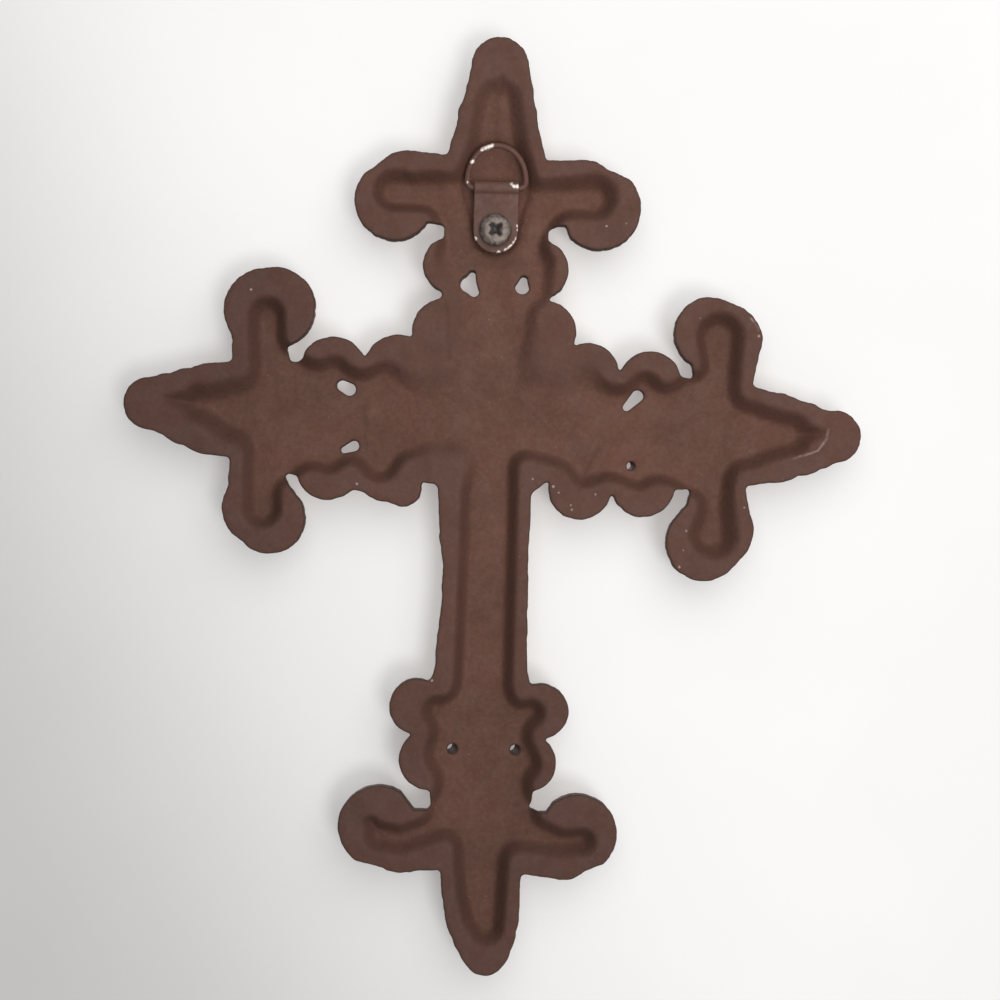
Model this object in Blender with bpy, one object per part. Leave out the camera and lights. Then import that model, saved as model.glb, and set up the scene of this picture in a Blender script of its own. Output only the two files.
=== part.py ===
"""Cast iron wall cross with a hanging ring screwed to its back. Metres, +Z up, front towards -Y.

The casting is a shell: a flat rim all round at the back, a sunk pocket inside the rim, and a raised
front that follows the pocket. Its plan is drawn as seen from behind, u to the right and v up from the
crossing, in plan units that are millimetres at the drawn height. Each arm has its own frame, with a
outward from the crossing and b a quarter turn counter-clockwise from a. A row (a, b, radius) is a
disc, and rows in a chain are joined by tapered strokes.

The origin is where a nail carries the ring: the inner side of the ring's crown.
"""
import math
from collections import namedtuple

import bmesh
import bpy
import numpy as np
from mathutils import Matrix, Vector
from mathutils.geometry import delaunay_2d_cdt
from mathutils.kdtree import KDTree

# Driving sizes of the casting
CROSS_HEIGHT = 0.2206
DRAWN_HEIGHT = 220.6
FLANGE = 0.0032
POCKET_DEPTH = 0.0048
METAL = 0.0028
LEAST_METAL = 0.0024
WALL_RUN = 0.0028
FRONT_RUN = 0.0042
EDGE_FILLET = 0.0012
POCKET_FILLET = 0.0026

# Plain ornament on the front
KEEL_SLOPE = 0.34
KEEL_EDGE = 0.0042
EYE_RADIUS = 0.0034
EYE_HEIGHT = 0.0014
GROOVE_HALF = 0.0010
GROOVE_DEPTH = 0.0009
PEARL_RADIUS = 0.0028
PEARL_HEIGHT = 0.0011
BAND_HALF = 0.0026
BAND_HEIGHT = 0.0012
BAND_REACH = 0.0110
BAND_FADE = 0.0035
BEAD_HALF = 0.0034
BEAD_HEIGHT = 0.0014
BOSS_RADIUS = 0.0085
BOSS_HEIGHT = 0.0022

# Hanger: folded strap, ring and screw
HANGER_ACROSS = -0.4
HANGER_UP = 54.4
BAR_DEPTH = 0.0032
WIRE_RADIUS = 0.00065
RING_WIDTH = 0.0152
RING_REACH = 0.00985
RING_CORNER = 0.0015
RING_TILT = math.radians(10.0)
LOOP_SIDE_PLAY = 0.00015
STRAP_METAL = 0.0007
LOOP_CLEARANCE = 0.0003
SCREW_TO_BAR = 0.0101
SHANK_RADIUS = 0.00175
SHANK_LENGTH = 0.0036
HEAD_RADIUS = 0.00375
HEAD_HEIGHT = 0.0016
HEAD_EDGE = 0.00055
CROWN_RADIUS = 0.0016
DRIVE_LENGTH = 0.0042
DRIVE_WIDTH = 0.0009
DRIVE_DEPTH = 0.0009
DRIVE_TURN = math.radians(42.0)
GAP = 0.0003
SEAT_ROOM = 0.0006
PAD_RADIUS = 0.0040
PAD_RUN = 0.0010

# Mesh spacings and how finely the fields are searched
EDGE_STEP = 0.0019
LINE_STEP = 0.0022
FILL_STEP = 0.0056
LINE_CLEAR = 0.0009
FILL_CLEAR = 0.0026
SHOULDER_LINES = (0.3, 1.0)
SWELL_RING = 0.6
PEARLS = 4
PEARL_SIDES = 8
PAD_SIDES = 16
OUTLINE_GRID = 0.0010
LEVEL_GRID = 0.0007
PIERCING_GRID = 0.0004
TREE_STEP = 0.0003
SHORTEST_LOOP = 8
PLAN_REACH = 0.63
PROBE = 0.00002
PROJECT_ROUNDS = 4
LEAST_SLOPE = 0.2
SAME_PLACE = 1e-9
CUT_MARGIN = 0.001
ROUND_SIDES = 32
LOOP_SIDES = 24
BORE_SIDES = 20
CROWN_RINGS = 4
CORNER_STATIONS = 5
BOW_STATIONS = 20
WIRE_SIDES = 8
SOFT_EDGE = math.radians(32.0)
FLAT_EDGE = math.radians(20.0)
WIRE_EDGE = math.radians(60.0)

# Values worked out from the sizes above
UNIT = CROSS_HEIGHT / DRAWN_HEIGHT
STRAP_WIDTH = RING_WIDTH - 2 * (WIRE_RADIUS + RING_CORNER + LOOP_SIDE_PLAY)
LOOP_BORE = WIRE_RADIUS + LOOP_CLEARANCE
LOOP_RADIUS = LOOP_BORE + STRAP_METAL
SEAT_DEPTH = BAR_DEPTH + LOOP_RADIUS + SEAT_ROOM
PAD_DEPTH = BAR_DEPTH + STRAP_METAL + GAP
HEAD_SEAT = BAR_DEPTH - STRAP_METAL - GAP
CROWN_REACH = RING_REACH - WIRE_RADIUS
BACK_Y = BAR_DEPTH - CROWN_REACH * math.sin(RING_TILT)
BAR_Z = -CROWN_REACH * math.cos(RING_TILT)
BAR_Y = BACK_Y - BAR_DEPTH
SCREW_Z = BAR_Z - SCREW_TO_BAR

Arm = namedtuple("Arm", "turn blade scrolls lobes core pocket_blade pocket_lines piercings")

TOP = Arm(
    turn=90,
    blade=((60.0, 0.6, 11.4), (70.0, 0.5, 9.5), (76.0, 0.1, 8.1), (82.6, 0.2, 6.9)),
    scrolls=(
        ((50.6, 24.3, 9.5), (53.9, 21.5, 8.5), (53.4, 8.0, 7.8)),
        ((49.8, -23.9, 9.9), (53.4, -20.0, 7.8), (52.8, -8.0, 7.8)),
    ),
    lobes=((35.7, 10.8, 6.6), (20.0, 11.6, 8.0), (35.0, -10.2, 6.9), (20.4, -11.8, 7.4)),
    core=((0.0, 0.3, 12.0), (46.0, 0.3, 12.5)),
    pocket_blade=((52.0, 0.5, 8.0), (60.0, 0.5, 7.8), (70.0, 0.3, 6.2), (76.6, 0.0, 4.4)),
    pocket_lines=(
        ((52.8, 24.5, 5.4), (52.6, 9.0, 5.4)),
        ((52.3, -22.6, 6.1), (51.5, -9.0, 4.9)),
        ((52.0, 0.4, 7.5), (36.0, 0.6, 11.0), (28.0, 0.8, 10.6), (10.0, 0.0, 11.0)),
        ((34.6, 9.6, 4.6),),
        ((34.4, -8.4, 4.6),),
        ((40.0, 11.0, 3.0), (46.0, 13.0, 3.0)),
        ((40.0, -8.0, 3.0), (46.0, -12.0, 3.0)),
    ),
    piercings=(
        ((34.0, 5.7, 0.8), (31.6, 6.5, 2.0), (29.8, 5.2, 1.2)),
        ((33.0, -6.5, 0.9), (31.2, -6.2, 1.7)),
    ),
)

RIGHT = Arm(
    turn=0,
    blade=((58.0, -2.9, 11.8), (66.0, -3.2, 10.7), (72.0, -3.2, 8.9), (76.0, -3.2, 7.3), (80.2, -2.6, 6.3)),
    scrolls=(
        ((50.5, 21.0, 8.6), (54.0, 19.3, 8.9), (53.9, 7.8, 6.6)),
        ((50.2, -28.2, 9.1), (52.8, -25.1, 9.1), (53.7, -15.0, 6.2)),
    ),
    lobes=((36.7, 9.1, 7.5), (22.1, 11.0, 7.2), (35.6, -15.0, 7.6), (20.8, -16.0, 7.6)),
    core=((0.0, -0.8, 12.6), (44.0, -2.6, 13.4)),
    pocket_blade=((52.0, -3.2, 8.6), (58.0, -3.2, 8.3), (78.2, -2.2, 1.3)),
    pocket_lines=(
        ((52.9, 20.2, 6.2), (53.4, 12.0, 5.0), (53.0, 2.0, 5.4)),
        ((52.4, -26.1, 6.5), (53.2, -17.0, 4.3), (53.0, -8.0, 4.8)),
        ((50.0, -3.6, 8.4), (30.0, -3.2, 11.8), (8.0, 1.6, 11.2)),
        ((35.6, 7.8, 4.4),),
        ((34.6, -12.2, 4.6),),
        ((21.0, 9.0, 4.5),),
        ((22.0, -11.8, 4.6),),
        ((41.0, -12.0, 3.0), (47.0, -15.0, 3.0)),
        ((40.0, 5.0, 3.0), (46.0, 10.0, 2.5)),
    ),
    piercings=(
        ((31.4, 3.2, 1.1), (34.2, 6.2, 1.4)),
        ((32.9, -10.5, 1.0),),
    ),
)

LEFT = Arm(
    turn=180,
    blade=((56.0, -0.6, 12.0), (66.0, -0.7, 10.9), (71.0, -1.0, 9.3), (76.0, -1.6, 7.4), (80.6, -1.7, 6.3)),
    scrolls=(
        ((51.9, 24.8, 8.4), (54.3, 22.3, 9.0), (54.6, 13.0, 6.8)),
        ((51.8, -24.8, 9.6), (54.2, -24.3, 9.7), (54.6, -10.0, 7.0)),
    ),
    lobes=((38.5, 12.4, 7.8), (24.6, 12.8, 7.6), (37.8, -10.4, 8.0), (22.6, -11.2, 8.0),
           (20.9, 16.8, 4.6), (14.5, 9.6, 6.2)),
    core=((0.0, 0.0, 12.6), (45.0, 1.0, 13.6)),
    pocket_blade=((52.0, -0.4, 8.8), (57.5, -0.6, 8.5), (77.4, -2.4, 1.4)),
    pocket_lines=(
        ((53.8, 22.4, 5.2), (54.1, 8.8, 4.9)),
        ((53.7, -22.8, 4.9), (53.1, -6.0, 4.9)),
        ((50.0, 0.0, 10.0), (32.0, 0.4, 11.6), (8.0, -1.0, 10.6)),
        ((38.6, 9.8, 4.8),),
        ((37.6, -9.8, 4.4),),
        ((26.4, 10.8, 5.4),),
        ((25.0, -8.4, 4.8),),
        ((42.0, 9.0, 3.0), (48.0, 14.0, 3.0)),
        ((42.0, -9.0, 3.5), (49.0, -13.5, 3.0)),
    ),
    piercings=(
        ((36.0, -7.1, 1.3), (34.2, -6.2, 1.5)),
        ((35.2, 8.2, 0.8), (32.9, 7.2, 1.3)),
    ),
)

BOTTOM = Arm(
    turn=-90,
    blade=((102.0, -0.4, 9.9), (109.0, -0.5, 9.4), (113.5, -0.1, 9.2), (117.0, 0.2, 8.8),
           (121.0, 0.2, 7.2), (127.0, 0.8, 4.2)),
    scrolls=(
        ((97.2, 22.0, 9.4), (100.2, 18.6, 8.0), (99.4, 8.0, 7.2)),
        ((96.5, -24.7, 9.7), (99.8, -19.5, 7.6), (99.2, -9.0, 7.0)),
    ),
    lobes=((80.9, 10.0, 6.8), (68.6, 12.9, 6.5), (80.6, -13.2, 7.2), (68.2, -16.3, 6.7)),
    core=((66.0, -1.8, 12.4), (92.0, -1.6, 11.2)),
    pocket_blade=((96.0, -0.6, 7.2), (104.0, -0.5, 6.9), (111.0, -0.4, 6.3), (117.6, 1.2, 5.0),
                  (120.8, 2.4, 3.2)),
    pocket_lines=(
        ((97.1, 9.0, 5.4), (99.5, 18.0, 3.8), (99.1, 23.2, 3.8)),
        ((96.0, -10.0, 3.8), (99.6, -19.6, 3.9), (98.8, -24.6, 4.2), (96.0, -26.6, 2.6)),
        ((64.0, -1.0, 9.6), (78.0, -1.2, 13.0), (92.0, -0.8, 9.4)),
        ((69.2, 10.4, 3.9),),
        ((69.2, -11.6, 4.2),),
        ((81.2, 9.4, 4.3),),
        ((79.4, -9.4, 5.0),),
        ((86.0, 8.0, 2.6), (91.0, 11.0, 2.6)),
        ((86.0, -8.0, 2.6), (91.0, -12.0, 2.6)),
    ),
    piercings=(
        ((78.4, 7.0, 1.4),),
        ((78.5, -7.9, 1.4),),
    ),
)

ARMS = (TOP, RIGHT, LEFT, BOTTOM)
SHAFT = ((12.0, -1.6, 11.2), (27.0, -1.4, 10.7), (34.0, -0.9, 10.2), (44.0, -1.0, 10.3), (56.0, -1.5, 10.9),
         (64.0, -1.5, 11.0))
SHAFT_POCKET = ((8.0, -0.5, 7.1), (28.0, -0.5, 7.1), (64.0, -1.0, 7.4))
SHAFT_BEAD = ((18.0, -0.6), (60.0, -1.0))
CROSSING = (-0.5, 0.0, 20.0)


# Fields: how far outside a plan shape a point lies, negative inside


def arm_frame(points, turn):
    """The arm's own coordinates, a outward and b across, of points in the plan, all in metres."""
    angle = math.radians(turn)
    u, v = points[:, 0], points[:, 1]
    return u * math.cos(angle) + v * math.sin(angle), v * math.cos(angle) - u * math.sin(angle)


def stroke(a, b, start, end):
    """Distance from a straight stroke that tapers between two discs."""
    step_a, step_b = end[0] - start[0], end[1] - start[1]
    length = step_a * step_a + step_b * step_b
    share = np.clip(((a - start[0]) * step_a + (b - start[1]) * step_b) / length, 0.0, 1.0)
    radius = start[2] + (end[2] - start[2]) * share
    return np.hypot(a - start[0] - share * step_a, b - start[1] - share * step_b) - radius


def chain(a, b, rows, unit=None):
    """Distance from a chain of strokes, or from one disc, whose rows are in plan units."""
    unit = UNIT if unit is None else unit
    rows = [tuple(value * unit for value in row) for row in rows]
    if len(rows) == 1:
        return np.hypot(a - rows[0][0], b - rows[0][1]) - rows[0][2]
    return np.minimum.reduce([stroke(a, b, start, end) for start, end in zip(rows, rows[1:])])


def soft_union(fields, fillet):
    """Union of fields with a fillet where they meet."""
    total = fields[0]
    for field in fields[1:]:
        share = np.clip(0.5 + 0.5 * (field - total) / fillet, 0.0, 1.0)
        total = field * (1.0 - share) + total * share - fillet * share * (1.0 - share)
    return total


def outline(points):
    """Field of the casting's outline, without its piercings."""
    fields = []
    for arm in ARMS:
        a, b = arm_frame(points, arm.turn)
        fields.append(chain(a, b, arm.blade))
        fields += [chain(a, b, scroll) for scroll in arm.scrolls]
        fields += [chain(a, b, (lobe,)) for lobe in arm.lobes]
        fields.append(chain(a, b, arm.core + (arm.blade[0],)))
    a, b = arm_frame(points, BOTTOM.turn)
    fields.append(chain(a, b, SHAFT))
    fields.append(chain(points[:, 0], points[:, 1], (CROSSING,)))
    return soft_union(fields, EDGE_FILLET)


def piercings(points):
    """Field of the small holes between the lobes."""
    fields = []
    for arm in ARMS:
        a, b = arm_frame(points, arm.turn)
        fields += [chain(a, b, rows) for rows in arm.piercings]
    return np.minimum.reduce(fields)


def hanger_seat(points, spread):
    """Field of the room round the strap and the ring, spread wider than they are."""
    across = points[:, 0] - HANGER_ACROSS * UNIT
    up = points[:, 1] - HANGER_UP * UNIT
    half_ring = RING_WIDTH / 2 + GAP
    crown = RING_REACH + WIRE_RADIUS + GAP
    rows = (
        (0.0, -SCREW_TO_BAR, STRAP_WIDTH / 2 + spread),
        (0.0, 0.0, half_ring + spread),
        (0.0, crown - half_ring, half_ring + spread),
    )
    return chain(across, up, rows, unit=1.0)


def pocket(points):
    """Field of the pocket sunk into the back."""
    fields = []
    for arm in ARMS:
        a, b = arm_frame(points, arm.turn)
        fields.append(chain(a, b, arm.pocket_blade))
        fields += [chain(a, b, rows) for rows in arm.pocket_lines]
    a, b = arm_frame(points, BOTTOM.turn)
    fields.append(chain(a, b, SHAFT_POCKET))
    fields.append(hanger_seat(points, WALL_RUN / 2))
    return soft_union(fields, POCKET_FILLET)


# Contours of a field, as closed loops of points


def project(field, points, level):
    """Move points along the field's slope until they lie on a level."""
    for _ in range(PROJECT_ROUNDS):
        value = field(points) - level
        slope_u = (field(points + (PROBE, 0.0)) - field(points - (PROBE, 0.0))) / (2 * PROBE)
        slope_v = (field(points + (0.0, PROBE)) - field(points - (0.0, PROBE))) / (2 * PROBE)
        square = np.maximum(slope_u * slope_u + slope_v * slope_v, LEAST_SLOPE)
        points = points - np.stack((slope_u, slope_v), axis=1) * (value / square)[:, None]
    return points


def cell_segments(inside, row, column):
    """The edges of a grid cell that a contour joins, each as a pair."""
    corners = (inside[row, column], inside[row, column + 1],
               inside[row + 1, column + 1], inside[row + 1, column])
    edges = (("across", row, column), ("up", row, column + 1), ("across", row + 1, column), ("up", row, column))
    crossed = [edges[side] for side in range(4) if corners[side] != corners[(side + 1) % 4]]
    if len(crossed) == 4:
        turn = 0 if corners[0] else 1
        crossed = crossed[turn:] + crossed[:turn]
        return [(crossed[3], crossed[0]), (crossed[1], crossed[2])]
    return [tuple(crossed)] if crossed else []


def contours(field, level, step):
    """Closed loops where a field has a level, found on a square grid."""
    lines = np.arange(-PLAN_REACH * CROSS_HEIGHT, PLAN_REACH * CROSS_HEIGHT, step)
    u, v = np.meshgrid(lines, lines)
    points = np.stack((u.ravel(), v.ravel()), axis=1)
    inside = (field(points) < level).reshape(u.shape)
    mixed = np.zeros(inside.shape, dtype=bool)
    mixed[:-1, :-1] = (inside[:-1, :-1] != inside[:-1, 1:]) | (inside[1:, :-1] != inside[1:, 1:])
    mixed[:-1, :-1] |= inside[:-1, :-1] != inside[1:, :-1]
    neighbours = {}
    for row, column in np.argwhere(mixed):
        for first, second in cell_segments(inside, int(row), int(column)):
            neighbours.setdefault(first, []).append(second)
            neighbours.setdefault(second, []).append(first)
    loops = []
    while neighbours:
        start = next(iter(neighbours))
        loop = [start]
        while True:
            options = neighbours.pop(loop[-1])
            following = [edge for edge in options if edge in neighbours]
            if not following:
                break
            loop.append(following[0])
        middles = [(lines[column] + (step / 2 if kind == "across" else 0.0),
                    lines[row] + (step / 2 if kind == "up" else 0.0)) for kind, row, column in loop]
        loops.append(project(field, np.array(middles), level))
    return loops


def spaced(loop, step, fewest=8):
    """A closed loop's points, moved to even steps along it."""
    closed = np.vstack((loop, loop[:1]))
    travelled = np.concatenate(((0.0,), np.cumsum(np.hypot(*np.diff(closed, axis=0).T))))
    count = max(fewest, round(travelled[-1] / step))
    stations = np.arange(count) * travelled[-1] / count
    return np.stack([np.interp(stations, travelled, closed[:, axis]) for axis in (0, 1)], axis=1)


def inside_loops(points, loops):
    """Which points lie inside an odd number of loops."""
    odd = np.zeros(len(points), dtype=bool)
    for loop in loops:
        for (u0, v0), (u1, v1) in zip(loop, np.roll(loop, -1, axis=0)):
            if v0 == v1:
                continue
            level = (v0 > points[:, 1]) != (v1 > points[:, 1])
            odd ^= level & (points[:, 0] < u0 + (points[:, 1] - v0) * (u1 - u0) / (v1 - v0))
    return odd


# Relief: depth from the back plane of the back and of the front


def ease(share):
    """Smooth step from 0 to 1."""
    share = np.clip(share, 0.0, 1.0)
    return share * share * (3.0 - 2.0 * share)


def shoulder(share):
    """Quarter round from 0 to 1."""
    return np.sqrt(1.0 - (1.0 - np.clip(share, 0.0, 1.0)) ** 2)


def dome(distance, radius):
    """Round swelling that is 1 in its middle and 0 from its radius on."""
    return np.clip(1.0 - (distance / radius) ** 2, 0.0, 1.0)


def groove(distance):
    """Depth of a round groove that starts where the distance is 0."""
    return GROOVE_DEPTH * dome(distance - GROOVE_HALF, GROOVE_HALF)


class Relief:
    """Depths of the casting's two faces, worked out from the pocket's edge and from the outline."""

    def __init__(self):
        self.pocket_edge = edge_tree(pocket)
        self.outline_edge = edge_tree(outline)

    def into_pocket(self, points):
        """True distance inward from the pocket's edge, negative outside the pocket."""
        return inward_distance(points, pocket, self.pocket_edge)

    def into_outline(self, points):
        """True distance inward from the outline."""
        return inward_distance(points, outline, self.outline_edge)

    def back(self, points):
        """Depth of the back: flat rim, pocket wall and floor, and the pad under the strap."""
        floor = POCKET_DEPTH + (SEAT_DEPTH - POCKET_DEPTH) * ease(0.5 - hanger_seat(points, 0.0) / WALL_RUN)
        depth = floor * ease(self.into_pocket(points) / WALL_RUN)
        to_screw = np.hypot(points[:, 0] - HANGER_ACROSS * UNIT, points[:, 1] - HANGER_UP * UNIT + SCREW_TO_BAR)
        pad = ease((PAD_RADIUS + PAD_RUN - to_screw) / PAD_RUN)
        return depth * (1.0 - pad) + PAD_DEPTH * pad

    def front(self, points):
        """Depth of the front: a rounded shoulder from the outline up to the ornament, never too thin."""
        floor = POCKET_DEPTH + (SEAT_DEPTH - POCKET_DEPTH) * ease(1.0 - hanger_seat(points, 0.0) / FRONT_RUN)
        raised = floor + METAL - FLANGE + self.ornament(points)
        depth = FLANGE + raised * shoulder(self.into_outline(points) / FRONT_RUN)
        return np.maximum(depth, floor * ease(self.into_pocket(points) / WALL_RUN) + LEAST_METAL)

    def ornament(self, points):
        """Keeled spears, scroll eyes, pearls and bands on the collars, the shaft's bead and a boss."""
        extra = np.zeros(len(points))
        for arm in ARMS:
            a, b = arm_frame(points, arm.turn)
            extra = np.maximum(extra, KEEL_SLOPE * np.maximum(-chain(a, b, arm.blade) - KEEL_EDGE, 0.0))
            for scroll in arm.scrolls:
                distance = np.hypot(a - scroll[0][0] * UNIT, b - scroll[0][1] * UNIT)
                extra = extra + EYE_HEIGHT * dome(distance, EYE_RADIUS) - groove(distance - EYE_RADIUS)
            for lobe in arm.lobes[:PEARLS]:
                distance = np.hypot(a - lobe[0] * UNIT, b - lobe[1] * UNIT)
                extra = extra + PEARL_HEIGHT * dome(distance, PEARL_RADIUS)
            fade = ease((BAND_REACH - np.abs(b)) / BAND_FADE)
            extra = extra + BAND_HEIGHT * dome(a - band_place(arm), BAND_HALF) * fade
        a, b = arm_frame(points, BOTTOM.turn)
        bead = [tuple(value * UNIT for value in row) + (0.0,) for row in SHAFT_BEAD]
        extra = extra + BEAD_HEIGHT * dome(stroke(a, b, *bead), BEAD_HALF)
        to_middle = np.hypot(points[:, 0] - CROSSING[0] * UNIT, points[:, 1] - CROSSING[1] * UNIT)
        return extra + BOSS_HEIGHT * dome(to_middle, BOSS_RADIUS) - groove(to_middle - BOSS_RADIUS)


def edge_tree(field):
    """The places on a field's edge, ready to be searched."""
    edge = np.vstack([spaced(loop, TREE_STEP) for loop in contours(field, 0.0, OUTLINE_GRID)])
    tree = KDTree(len(edge))
    for index, (u, v) in enumerate(edge):
        tree.insert((u, v, 0.0), index)
    tree.balance()
    return tree


def inward_distance(points, field, tree):
    """True distance inward from a field's edge, negative outside it."""
    nearest = np.array([tree.find((u, v, 0.0))[2] for u, v in points])
    return np.where(field(points) < 0.0, nearest, -nearest)


def band_place(arm):
    """How far out an arm's collar band lies: midway between its two pairs of lobes."""
    return (arm.lobes[0][0] + arm.lobes[1][0]) / 2 * UNIT


# Meshes


def to_plan(arm, a, b):
    """A point of the plan, in metres, from an arm's frame."""
    angle = math.radians(arm.turn)
    return (a * math.cos(angle) - b * math.sin(angle), a * math.sin(angle) + b * math.cos(angle))


def ring_points(centre, radius, count):
    """Points evenly round a circle."""
    angles = np.arange(count) * 2 * math.pi / count
    return np.stack((centre[0] + radius * np.cos(angles), centre[1] + radius * np.sin(angles)), axis=1)


def line_points(start, end, step):
    """Points evenly along a straight line, both ends included."""
    count = max(2, round(math.dist(start, end) / step) + 1)
    shares = np.linspace(0.0, 1.0, count)[:, None]
    return np.array(start) * (1 - shares) + np.array(end) * shares


class Net:
    """Points that keep clear of each other, and the edges along the lines that they belong to."""

    def __init__(self, loops):
        self.loops = loops
        self.points = []
        self.edges = []
        self.cells = {}
        for loop in loops:
            self.add_line(loop, clear=0.0)
        self.border_count = len(self.points)

    def add_point(self, point, clear):
        """The new point's number, or None where an earlier point is nearer than the clearance."""
        column, row = (math.floor(value / FILL_CLEAR) for value in point)
        nearby = [(column + i, row + j) for i in (-1, 0, 1) for j in (-1, 0, 1)]
        if any(math.dist(point, other) < clear for cell in nearby for other in self.cells.get(cell, ())):
            return None
        self.cells.setdefault((column, row), []).append(tuple(point))
        self.points.append(tuple(point))
        return len(self.points) - 1

    def add_line(self, points, closed=True, clear=None):
        """Add a line's points that lie inside the border, and its edges between neighbours that are kept."""
        clear = LINE_CLEAR if clear is None else clear
        inside = inside_loops(np.array(points), self.loops) if clear else [True] * len(points)
        numbers = [self.add_point(point, clear) if keep else None for point, keep in zip(points, inside)]
        pairs = zip(numbers, numbers[1:] + numbers[:1] if closed else numbers[1:])
        self.edges += [pair for pair in pairs if None not in pair]

    def fill(self):
        """Add points on a grid of triangles wherever there is room."""
        row_step = FILL_STEP * math.sqrt(3.0) / 2
        rows = math.ceil(2 * PLAN_REACH * CROSS_HEIGHT / row_step)
        columns = math.ceil(2 * PLAN_REACH * CROSS_HEIGHT / FILL_STEP)
        grid = [((i + j % 2 / 2 - columns / 2) * FILL_STEP, (j - rows / 2) * row_step)
                for j in range(rows) for i in range(columns)]
        for point, keep in zip(grid, inside_loops(np.array(grid), self.loops)):
            if keep:
                self.add_point(point, FILL_CLEAR)

    def triangles(self):
        """The points, those of the border first and as they were, and the triangles inside the border."""
        places = [Vector(point) for point in self.points]
        result = delaunay_2d_cdt(places, self.edges, [], 0, SAME_PLACE, True)
        points = self.points[:self.border_count]
        numbers = []
        for place, sources in zip(result[0], result[3]):
            source = min(sources, default=self.border_count)
            if source < self.border_count:
                numbers.append(source)
            else:
                numbers.append(len(points))
                points.append(tuple(place))
        points = np.array(points)
        faces = np.array([[numbers[corner] for corner in face] for face in result[2]])
        faces = faces[inside_loops(points[faces].mean(axis=1), self.loops)]
        one, two, three = (points[faces[:, k]] for k in range(3))
        sides = np.concatenate((two - one, three - one), axis=1)
        turn = sides[:, 0] * sides[:, 3] - sides[:, 1] * sides[:, 2]
        faces[turn < 0] = faces[turn < 0][:, ::-1]
        return points, faces


def draw_back(net, relief):
    """Lines of the back: the pad's rings, the pocket's edge, its floor's edge and its valleys."""
    pad = (HANGER_ACROSS * UNIT, HANGER_UP * UNIT - SCREW_TO_BAR)
    for radius in (PAD_RADIUS, PAD_RADIUS + PAD_RUN):
        net.add_line(ring_points(pad, radius, PAD_SIDES))
    for level in (0.0, WALL_RUN):
        for loop in level_loops(relief.into_pocket, level):
            net.add_line(loop)
    for arm in ARMS:
        add_path(net, arm, [(row[0] * UNIT, row[1] * UNIT) for row in arm.pocket_blade])
    net.fill()


def draw_front(net, relief):
    """Lines of the front: eyes, pearls, boss, bands, keels and bead, then the rounded shoulder."""
    for arm in ARMS:
        for scroll in arm.scrolls:
            add_rings(net, to_plan(arm, scroll[0][0] * UNIT, scroll[0][1] * UNIT), EYE_RADIUS)
        for lobe in arm.lobes[:PEARLS]:
            centre = to_plan(arm, lobe[0] * UNIT, lobe[1] * UNIT)
            net.add_point(centre, LINE_CLEAR)
            net.add_line(ring_points(centre, PEARL_RADIUS, PEARL_SIDES))
    add_rings(net, (CROSSING[0] * UNIT, CROSSING[1] * UNIT), BOSS_RADIUS)
    for share in SHOULDER_LINES:
        for loop in level_loops(relief.into_outline, FRONT_RUN * share):
            net.add_line(loop)
    for arm in ARMS:
        for offset in (0.0, -BAND_HALF, BAND_HALF):
            place = band_place(arm) + offset
            add_path(net, arm, [(place, -BAND_REACH), (place, BAND_REACH)])
        add_path(net, arm, [(row[0] * UNIT, row[1] * UNIT) for row in arm.blade])
    for offset in (0.0, -BEAD_HALF, BEAD_HALF):
        add_path(net, BOTTOM, [(row[0] * UNIT, row[1] * UNIT + offset) for row in SHAFT_BEAD])
    net.fill()


def add_path(net, arm, corners):
    """Add an open line through points of an arm's frame, in even steps."""
    places = [to_plan(arm, *corner) for corner in corners]
    for start, end in zip(places, places[1:]):
        net.add_line(line_points(start, end, LINE_STEP), closed=False)


def add_rings(net, centre, radius):
    """Add the rings of a round swelling and of the groove about it."""
    net.add_point(centre, LINE_CLEAR)
    sides = round(2 * math.pi * (radius + GROOVE_HALF) / LINE_STEP)
    net.add_line(ring_points(centre, radius * SWELL_RING, sides // 2))
    for groove in (0, 1, 2):
        net.add_line(ring_points(centre, radius + groove * GROOVE_HALF, sides))


def world(points, depths):
    """World places of plan points at depths below the back plane."""
    x = HANGER_ACROSS * UNIT - points[:, 0]
    y = BACK_Y - depths
    z = points[:, 1] - HANGER_UP * UNIT + BAR_Z
    return np.stack((x, y, z), axis=1)


def level_loops(distance, level):
    """Evenly spaced loops where a distance inward has a level."""

    def outward(points):
        return -distance(points)

    return [spaced(loop, LINE_STEP) for loop in contours(outward, -level, LEVEL_GRID) if len(loop) > SHORTEST_LOOP]


def casting_mesh(relief):
    """The casting as one closed mesh: back face, front face and the edge between them."""
    loops = [project(outline, spaced(loop, EDGE_STEP), 0.0) for loop in contours(outline, 0.0, OUTLINE_GRID)]
    loops += [spaced(loop, EDGE_STEP / 2) for loop in contours(piercings, 0.0, PIERCING_GRID)]
    back_net = Net(loops)
    draw_back(back_net, relief)
    back_points, back_faces = back_net.triangles()
    front_net = Net(loops)
    draw_front(front_net, relief)
    front_points, front_faces = front_net.triangles()
    mesh = bmesh.new()
    back = [mesh.verts.new(place) for place in world(back_points, relief.back(back_points))]
    front = [mesh.verts.new(place) for place in world(front_points, relief.front(front_points))]
    for face in back_faces:
        mesh.faces.new([back[corner] for corner in face[::-1]])
    for face in front_faces:
        mesh.faces.new([front[corner] for corner in face])
    first = 0
    for loop in loops:
        count = len(loop)
        for k in range(count):
            here, there = first + k, first + (k + 1) % count
            mesh.faces.new((back[here], back[there], front[there], front[here]))
        first += count
    bmesh.ops.recalc_face_normals(mesh, faces=mesh.faces)
    bmesh.ops.triangulate(mesh, faces=[face for face in mesh.faces if len(face.verts) > 3])
    shade(mesh)
    return mesh


# Objects


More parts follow.
